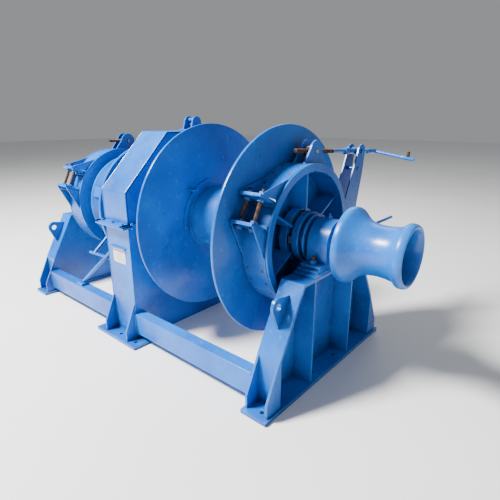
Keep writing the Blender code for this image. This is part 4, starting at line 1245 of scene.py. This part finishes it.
@dataclass
class BandBrake:
    """One band brake: drum, split band and linings, clamp studs, arms, screw, nut, trunnion and crank."""

    end: End
    brake_r: float = 0.378
    rim_r: float = 0.400
    band_in: float = 0.390
    band_out: float = 0.398
    half_w: float = 0.076
    clamp_deg: float = 154.0
    reach: float = 0.462
    nut: Pair = (0.100, SHAFT_Z + 0.456)
    trunnion: Pair = (0.645, SHAFT_Z + 0.426)
    drop: float = math.radians(8.7)
    ribs: int = 6

    def build(self) -> None:
        """Builds every piece of the brake."""
        self.drum()
        self.upper_band()
        self.lower_band()
        self.linings()
        self.rivets()
        for place, side in (("inner", -0.0425), ("outer", 0.0425)):
            self.clamp_stud(place, self.end.brake(side))
        self.arms()
        self.screw_nut()
        self.swivel()
        self.screw()
        self.crank()

    def drum(self) -> None:
        """Builds the brake drum: rim, web, ribs and the slotted jaw ring."""
        x, name = self.end.brake, self.end.name
        body = self.end.wheel_body
        guard = self.end.guard_r
        back = [(-0.0780, self.brake_r), (-0.0780, guard), (-0.0900, guard), (-0.0900, BORE_R)]
        if guard <= self.brake_r:
            back = [(-0.0797, self.brake_r), (-0.0797, BORE_R)]
        profile = [(0.092, self.rim_r - 0.003), (0.0895, self.rim_r), (0.082, self.rim_r)]
        profile += [(0.080, self.rim_r - 0.002), (0.080, self.brake_r), *back, (-0.010, BORE_R)]
        profile += [(-0.010, 0.092), (-0.0677, 0.092), (-0.0677, 0.350), (-0.060, 0.358)]
        profile += [(0.089, 0.358), (0.092, 0.361)]
        shape = Shape(f"{name}_drum_ring").lathe([(x(a), r) for a, r in profile], sides=144, closed=True)
        shape.done(Dress.PAINT, body, [f"{name}_brake_drum"], bevel=0)
        self.spider()
        welds = Shape(f"{name}_drum_welds").ring_weld(x(-0.0665), 0.093, 0.005)
        for i in range(self.ribs):
            for side in (-0.0075, 0.0075):
                ends = [(x(-0.0665), *around(reach, self.rib_deg(i), side)) for reach in (0.156, 0.354)]
                welds.weld(ends[0], ends[1], 0.004)
        welds.done(Dress.PAINT, body, bevel=0)

    def rib_deg(self, i: int) -> float:
        """The direction of one of the drum's ribs, in degrees."""
        return 30.0 + 360.0 / self.ribs * i

    def spider(self) -> None:
        """Builds the ribs and the jaw ring with its four slots."""
        x, name = self.end.brake, self.end.name
        shape = Shape(f"{name}_drum_spider")
        corners = ((0.088, -0.026), (0.142, -0.026), (0.142, 0.026), (0.088, 0.026))
        slots = [[around(reach, 90 * i, across) for reach, across in corners] for i in range(4)]
        rim = arc((0, SHAFT_Z), 0.153, 0, 356.25, 95)
        hole = arc((0, SHAFT_Z), BORE_R, 0, 354, 59)
        shape.plate(rim, x(0.003), x(0.025), [hole, *slots])
        shape.plate(rim, x(-0.020), x(0.003), [hole])
        low, high = (x(-0.070), 0.150, SHAFT_Z - 0.006), (x(0.052), 0.361, SHAFT_Z + 0.006)
        for i in range(self.ribs):
            shape.box(low, high, math.radians(self.rib_deg(i)))
        shape.done(Dress.PAINT, self.end.wheel_body, bevel=0.0025)

    def strip(self, inner: float, outer: float, start: float, end: float) -> list[Pair]:
        """The side outline of a stretch of band or lining.

        Args:
            inner: Its inner radius.
            outer: Its outer radius.
            start: Its first angle in degrees.
            end: Its last angle in degrees.

        Returns:
            The outline.
        """
        steps = max(8, int(abs(end - start) / 1.5))
        middle = (0.0, SHAFT_Z)
        return arc(middle, outer, start, end, steps) + arc(middle, inner, end, start, steps)

    def at_clamp(self, reach: float, across: float) -> Pair:
        """A point at the clamp: out from the shaft's axis, and across the gap between the halves."""
        return around(reach, self.clamp_deg, across)

    def clamp_plate(self, shape: Shape, way: int) -> None:
        """Adds one clamp plate with its two gussets to a band.

        Args:
            shape: The band in the making.
            way: -1 above the gap, 1 below it.
        """
        bx = self.end.brake_x
        corners = ((0.386, 0.065), (0.505, 0.065), (0.505, 0.081), (0.386, 0.081))
        shape.plate([self.at_clamp(r, way * a) for r, a in corners], bx - 0.068, bx + 0.068)
        for x in (-0.074, 0.066):
            foot = arc((0, SHAFT_Z), 0.394, self.clamp_deg + way * 13.0, self.clamp_deg + way * 34.0, 14)
            tip = [self.at_clamp(0.498, way * 0.085), self.at_clamp(0.498, way * 0.075)]
            shape.plate(foot + tip, bx + x, bx + x + 0.008)

    def upper_band(self) -> None:
        """Builds the upper half band with its ears."""
        bx, name = self.end.brake_x, self.end.name
        shape = Shape(f"{name}_band_top")
        shape.plate(self.strip(self.band_in, self.band_out, 50, 147), bx - self.half_w, bx + self.half_w)
        for x in (-0.0385, 0.0265):
            outline = arc((0, SHAFT_Z), 0.394, 93, 52, 24) + arc(self.nut, 0.060, 5, 165, 40)
            shape.plate(outline, bx + x, bx + x + 0.012, [arc(self.nut, 0.0130, 0, 345, 23)])
        self.clamp_plate(shape, -1)
        shape.done(Dress.PAINT, f"{name}_band", [f"{name}_upper_band"], bevel=0.0014)

    def lower_band(self) -> None:
        """Builds the lower half band with the eye at its rear end."""
        bx, name = self.end.brake_x, self.end.name
        shape = Shape(f"{name}_band_bottom")
        shape.plate(self.strip(self.band_in, self.band_out, 161, 361), bx - self.half_w, bx + self.half_w)
        tail = [around(0.393, -5.0), around(0.393, 0.0), around(0.393, 4.0), (0.435, 0.802)]
        tail += arc((0.437, SHAFT_Z), 0.022, 80, -80, 24) + [(0.435, 0.758)]
        shape.plate(tail, bx - 0.030, bx + 0.030, [arc((0.437, SHAFT_Z), 0.0130, 0, 345, 23)])
        self.clamp_plate(shape, 1)
        shape.done(Dress.PAINT, "frame", [f"{name}_lower_band"], bevel=0.0014)

    def linings(self) -> None:
        """Builds the two linings."""
        bx, name = self.end.brake_x, self.end.name
        spans = {"upper": (54, 144, f"{name}_band"), "lower": (162, 351, "frame")}
        for half, (start, end, body) in spans.items():
            outline = self.strip(0.3806, 0.3896, start, end)
            shape = Shape(f"{name}_{half}_facing").plate(outline, bx - 0.070, bx + 0.070)
            shape.done(Dress.LINING, body, [f"{name}_{half}_lining"], bevel=0.0006)

    def rivets(self) -> None:
        """Builds the rows of countersunk rivets that hold the linings to the band."""
        name = self.end.name
        profile = [(0.0, 0.0), (0.0, 0.0085), (0.0010, 0.0080), (0.0019, 0.0050), (0.0021, 0.0)]
        spans = {"top": (range(56, 142, 12), f"{name}_band"), "bottom": (range(196, 352, 12), "frame")}
        for half, (angles, body) in spans.items():
            shape = Shape(f"{name}_rivets_{half}")
            for angle in angles:
                for x in (-0.050, 0.050):
                    place = (self.end.brake_x + x, *around(self.band_out - 0.0006, angle))
                    shape.lathe(profile, place, outward(angle), 20)
            shape.done(Dress.RUST, body, bevel=0)

    def clamp_stud(self, place: str, x: float) -> None:
        """Builds one clamp stud with its nuts, washers and the spacer between the plates.

        Args:
            place: Which of the two studs, inner or outer.
            x: Its X position.
        """
        name = self.end.name
        shape = Shape(f"{name}_clamp_screw_{place}")
        start, end = self.at_clamp(self.reach, -0.112), self.at_clamp(self.reach, 0.104)
        shape.thread((x, *start), (x, *end), 0.010, 0.0032, 0.0014)
        shape.done(Dress.RUST, "frame", [f"{name}_clamp_stud_{place}"], bevel=0)
        nuts = Shape(f"{name}_clamp_nuts_{place}")
        for low, high in ((-0.0978, -0.0822), (-0.0638, -0.0482), (0.0487, 0.0643), (0.0817, 0.0973)):
            start, end = self.at_clamp(self.reach, low), self.at_clamp(self.reach, high)
            nuts.rod((x, *start), (x, *end), 0.0190, 6, 0.0020)
        nuts.done(Dress.PAINT, "frame", bevel=0)

    def arms(self) -> None:
        """Builds the twin arms on the rear beam that hold the lower band and the trunnion."""
        bx, name = self.end.brake_x, self.end.name
        foot, sole = BEAM_TOP + 0.016, BEAM_TOP + 0.008
        outline = [(0.470, sole), (0.432, 0.480), (0.413, 0.700), (0.413, 0.800), (0.443, 0.870)]
        outline += arc(self.trunnion, 0.046, 165, 5, 36)
        outline += [(0.672, 1.060), (0.618, 0.835), (0.560, sole)]
        shape = Shape(f"{name}_arms")
        for x in (-0.042, 0.032):
            shape.plate(outline, bx + x, bx + x + 0.010, [arc(self.trunnion, 0.0160, 0, 345, 23)])
        shape.box((bx - 0.062, 0.462, BEAM_TOP), (bx + 0.062, 0.562, foot))
        shape.rod((bx - 0.050, 0.437, SHAFT_Z), (bx + 0.050, 0.437, SHAFT_Z), 0.0122)
        shape.rod((bx - 0.048, 0.604, 1.100), (bx + 0.048, 0.604, 1.100), 0.011)
        shape.rod((bx - 0.040, 0.500, 0.450), (bx + 0.040, 0.500, 0.450), 0.014)
        for x in (-0.0435, 0.0435):
            shape.weld((bx + x, 0.474, foot + 0.001), (bx + x, 0.556, foot + 0.001))
        shape.done(Dress.PAINT, "frame", [f"{name}_brake_arms"], bevel=0.0014)

    def along(self, distance: float, off_x: float = 0.0, up: float = 0.0) -> Point:
        """A point near the screw's line.

        Args:
            distance: How far it is along the line from the trunnion, away from the nut.
            off_x: How far it is to the side, along X.
            up: How far it is above the line.

        Returns:
            The point.
        """
        run = Vector((0.0, self.trunnion[0] - self.nut[0], self.trunnion[1] - self.nut[1])).normalized()
        rise = Vector((0.0, -run.z, run.y))
        place = Vector((self.end.brake_x, *self.trunnion)) + run * distance + rise * up
        return tuple(place + Vector((off_x, 0.0, 0.0)))

    def tube(self, shape: Shape, profile: Outline, sides: int = 40) -> Shape:
        """Adds a ring turned about the screw's line.

        Args:
            shape: The piece in the making.
            profile: Pairs of distance from the trunnion and radius.
            sides: How many sides stand for the round.

        Returns:
            The piece.
        """
        origin = self.along(0.0)
        way = Vector(self.along(1.0)) - Vector(origin)
        return shape.lathe(profile, origin, tuple(way), sides, closed=True)

    def screw_nut(self) -> None:
        """Builds the nut that swivels in the band's ears."""
        bx, name = self.end.brake_x, self.end.name
        shape = Shape(f"{name}_swivel_nut")
        for side in (-1, 1):
            shape.rod((bx + side * 0.0120, *self.nut), (bx + side * 0.0258, *self.nut), 0.027, 40)
            shape.rod((bx + side * 0.0250, *self.nut), (bx + side * 0.0440, *self.nut), 0.0122, 32)
        middle = -math.dist(self.nut, self.trunnion)
        sleeve = [(-0.0262, 0.0142), (-0.0262, 0.0225), (-0.0240, 0.0250)]
        sleeve += [(0.0240, 0.0250), (0.0262, 0.0225), (0.0262, 0.0142)]
        self.tube(shape, [(middle + along, radius) for along, radius in sleeve])
        shape.done(Dress.STEEL, f"{name}_nut", [f"{name}_spindle_nut"], bevel=0)

    def swivel(self) -> None:
        """Builds the trunnion with its sleeve."""
        bx, name = self.end.brake_x, self.end.name
        shape = Shape(f"{name}_swivel_block")
        for side in (-1, 1):
            shape.rod((bx + side * 0.0125, *self.trunnion), (bx + side * 0.0312, *self.trunnion), 0.027, 40)
            shape.rod((bx + side * 0.0300, *self.trunnion), (bx + side * 0.0500, *self.trunnion), 0.0150, 32)
        sleeve = [(-0.150, 0.0130), (-0.150, 0.0205), (-0.148, 0.0220), (-0.118, 0.0220), (-0.114, 0.0190)]
        sleeve += [(-0.036, 0.0190), (-0.032, 0.0220), (0.028, 0.0220), (0.030, 0.0205), (0.030, 0.0130)]
        self.tube(shape, sleeve)
        shape.done(Dress.PAINT, f"{name}_swivel", [f"{name}_trunnion"], bevel=0)

    def screw(self) -> None:
        """Builds the screw: rusty thread in front, painted bar and collars behind."""
        name = self.end.name
        thread = Shape(f"{name}_screw_thread")
        thread.thread(self.along(-0.700), self.along(-0.300), 0.012, 0.005, 0.0022)
        thread.done(Dress.RUST, f"{name}_screw", [f"{name}_spindle"], bevel=0)
        bar = Shape(f"{name}_screw_bar").rod(self.along(-0.302), self.along(0.300), 0.0119, 32)
        for start, end in ((0.0303, 0.0440), (-0.1620, -0.1503)):
            collar = [(start, 0.0110), (start, 0.0185), (start + 0.0015, 0.0200)]
            collar += [(end - 0.0015, 0.0200), (end, 0.0185), (end, 0.0110)]
            self.tube(bar, collar)
        bar.done(Dress.PAINT, f"{name}_screw", bevel=0)

    def on_crank(self, reach: float, up: float = 0.0) -> Point:
        """A point on the crank, out from the screw's line and up from the crank's own line."""
        swing = self.end.out * reach * math.cos(self.drop)
        return self.along(0.278, swing, -reach * math.sin(self.drop) + up)

    def crank(self) -> None:
        """Builds the crank with its socket, eye and upright stud."""
        name = self.end.name
        shape = Shape(f"{name}_crank_arm")
        socket = [(0.150, 0.0123), (0.150, 0.0160), (0.152, 0.0170)]
        socket += [(0.296, 0.0170), (0.298, 0.0160), (0.298, 0.0123)]
        self.tube(shape, socket)
        shape.rod(self.on_crank(0.012), self.on_crank(0.205), 0.0110, 32)
        eye = [(0.0, 0.0), (0.0, 0.0090), (0.006, 0.0120), (0.016, 0.0130), (0.090, 0.0122)]
        eye += [(0.096, 0.0100), (0.100, 0.0)]
        start = Vector(self.on_crank(0.193))
        way = (Vector(self.on_crank(0.293)) - start).normalized()
        shape.lathe(eye, tuple(start), tuple(way), 32)
        shape.done(Dress.PAINT, f"{name}_screw", [f"{name}_crank"], bevel=0)
        stud = Shape(f"{name}_crank_stud")
        stud.rod(self.on_crank(0.245, 0.010), self.on_crank(0.245, 0.0455), 0.0112, 24, 0.002)
        stud.done(Dress.RUST, f"{name}_screw", bevel=0)


@dataclass
class JawClutch:
    """The sliding jaw on the shaft and the lever that throws it."""

    end: End
    pivot_y: float = 0.400
    lever_z: float = 0.7095

    def build(self) -> None:
        """Builds the jaw and the lever."""
        self.jaw()
        self.lever()

    def jaw(self) -> None:
        """Builds the sliding jaw with its groove, lugs and screws."""
        x, name = self.end.brake, self.end.name
        collar = [(0.124, 0.132), (0.121, 0.135), (0.115, 0.135), (0.112, 0.132), (0.112, 0.108)]
        collar += [(0.109, 0.105), (0.093, 0.105), (0.090, 0.108), (0.090, 0.137), (0.087, 0.140)]
        collar += [(0.052, 0.140), (0.049, 0.137), (0.049, BORE_R), (0.124, BORE_R)]
        shape = Shape(f"{name}_jaw_collar").lathe([(x(a), r) for a, r in collar], closed=True)
        shape.done(Dress.PAINT, f"{name}_jaw", [f"{name}_clutch_jaw"], bevel=0)
        lugs = Shape(f"{name}_jaw_lugs")
        low, high = (x(0.029), 0.093, SHAFT_Z - 0.022), (x(0.052), 0.137, SHAFT_Z + 0.022)
        for i in range(4):
            lugs.box(low, high, math.pi / 2 * i)
        lugs.done(Dress.STEEL, f"{name}_jaw", bevel=0.002)
        screws = Shape(f"{name}_jaw_screws")
        socket = [(0.0, 0.0), (0.0, 0.0065), (0.0020, 0.0060), (0.0022, 0.0030)]
        socket += [(0.0008, 0.0025), (0.0008, 0.0)]
        for i in range(8):
            angle = 22.5 + 45 * i
            screws.lathe(socket, (x(0.070), *around(0.1385, angle)), outward(angle), 16)
        screws.done(Dress.RUST, f"{name}_jaw", bevel=0)

    def lever(self) -> None:
        """Builds the yoke, the boss and the long bar."""
        x, name = self.end.brake, self.end.name
        lever_x = x(0.118)
        outline = arc((0, SHAFT_Z), 0.150, -24, 38, 24) + arc((0, SHAFT_Z), 0.112, 38, -38, 28)
        outline += [(0.105, 0.698), (0.150, 0.698)]
        shape = Shape(f"{name}_fork").plate(outline, x(0.097), x(0.105))
        shape.box((x(0.098), 0.131, 0.697), (x(0.112), self.pivot_y - 0.012, 0.722))
        boss = [(0.0, 0.0110), (0.0, 0.0185), (0.0015, 0.020)]
        boss += [(0.0403, 0.020), (0.0418, 0.0185), (0.0418, 0.0110)]
        shape.lathe(boss, (lever_x, self.pivot_y, 0.6886), (0, 0, 1), 40, closed=True)
        start, end = (lever_x, self.pivot_y + 0.013, self.lever_z), (lever_x, 1.0695, self.lever_z)
        shape.rod(start, end, 0.0108, 28, 0.003)
        shape.done(Dress.PAINT, f"{name}_lever", [f"{name}_clutch_lever"], bevel=0.0012)


# ---------------------------------------------------------------- studio


@dataclass
class Studio:
    """Floor, camera and soft lights."""

    eye: Point = (2.2522, -1.8713, 1.3942)
    azimuth: float = 40.665
    pitch: float = 17.683
    lens: float = 29.15

    def build(self) -> None:
        """Sets up the studio."""
        self.floor()
        self.camera()
        self.lights()

    def floor(self) -> None:
        """Makes the pale floor."""
        made = bmesh.new()
        bmesh.ops.create_grid(made, x_segments=2, y_segments=2, size=30.0)
        bmesh.ops.translate(made, vec=(0.0, 0.0, -0.0005), verts=made.verts)
        mesh = bpy.data.meshes.new("floor")
        made.to_mesh(mesh)
        made.free()
        floor = bpy.data.objects.new("floor", mesh)
        bpy.context.scene.collection.objects.link(floor)
        mesh.materials.append(StudioFloor().make())

    def camera(self) -> None:
        """Places the camera."""
        data = bpy.data.cameras.new("camera")
        data.lens = self.lens
        data.sensor_width = 36.0
        camera = bpy.data.objects.new("camera", data)
        camera.location = self.eye
        camera.rotation_euler = (math.radians(90 - self.pitch), 0.0, math.radians(self.azimuth))
        bpy.context.scene.collection.objects.link(camera)
        bpy.context.scene.camera = camera

    def lights(self) -> None:
        """Places a broad key from the front and above, a weak fill and a pale surround."""
        self.lamp("key", (-2.2, -3.9, 6.2), 1.8, 2300.0, (1.0, 0.985, 0.96))
        self.lamp("fill", (5.2, -1.8, 2.6), 3.5, 20.0, (0.90, 0.95, 1.0))
        self.lamp("back", (-1.0, 4.5, 4.5), 3.0, 60.0, (0.92, 0.96, 1.0))
        world = bpy.data.worlds.new("surround")
        world.use_nodes = True
        sky = world.node_tree.nodes["Background"]
        sky.inputs["Color"].default_value = (0.93, 0.96, 1.0, 1.0)
        sky.inputs["Strength"].default_value = 0.32
        bpy.context.scene.world = world

    def lamp(self, name: str, at: Point, size: float, power: float, colour: Point) -> None:
        """Places one area light that faces the windlass.

        Args:
            name: The light's name.
            at: Its position.
            size: Its width in metres.
            power: Its power in watts.
            colour: Its colour.
        """
        data = bpy.data.lights.new(name, "AREA")
        data.shape = "DISK"
        data.size = size
        data.energy = power
        data.color = colour
        light = bpy.data.objects.new(name, data)
        light.location = at
        aim = Vector((0.2, 0.0, 0.6)) - Vector(at)
        light.rotation_euler = aim.to_track_quat("-Z", "Y").to_euler()
        bpy.context.scene.collection.objects.link(light)


def main() -> None:
    """Builds the studio and every piece of the windlass."""
    logging.basicConfig(level=logging.INFO, format="%(name)s: %(message)s")
    Studio().build()
    for end in (NEAR, FAR):
        Pedestal(end).build()
        BandBrake(end).build()
        JawClutch(end).build()
    Base().build()
    Gearbox().build()
    ShaftLine().build()
    RopeDrum().build()
    ChainWheel().build()


if __name__ == "__main__":
    main()
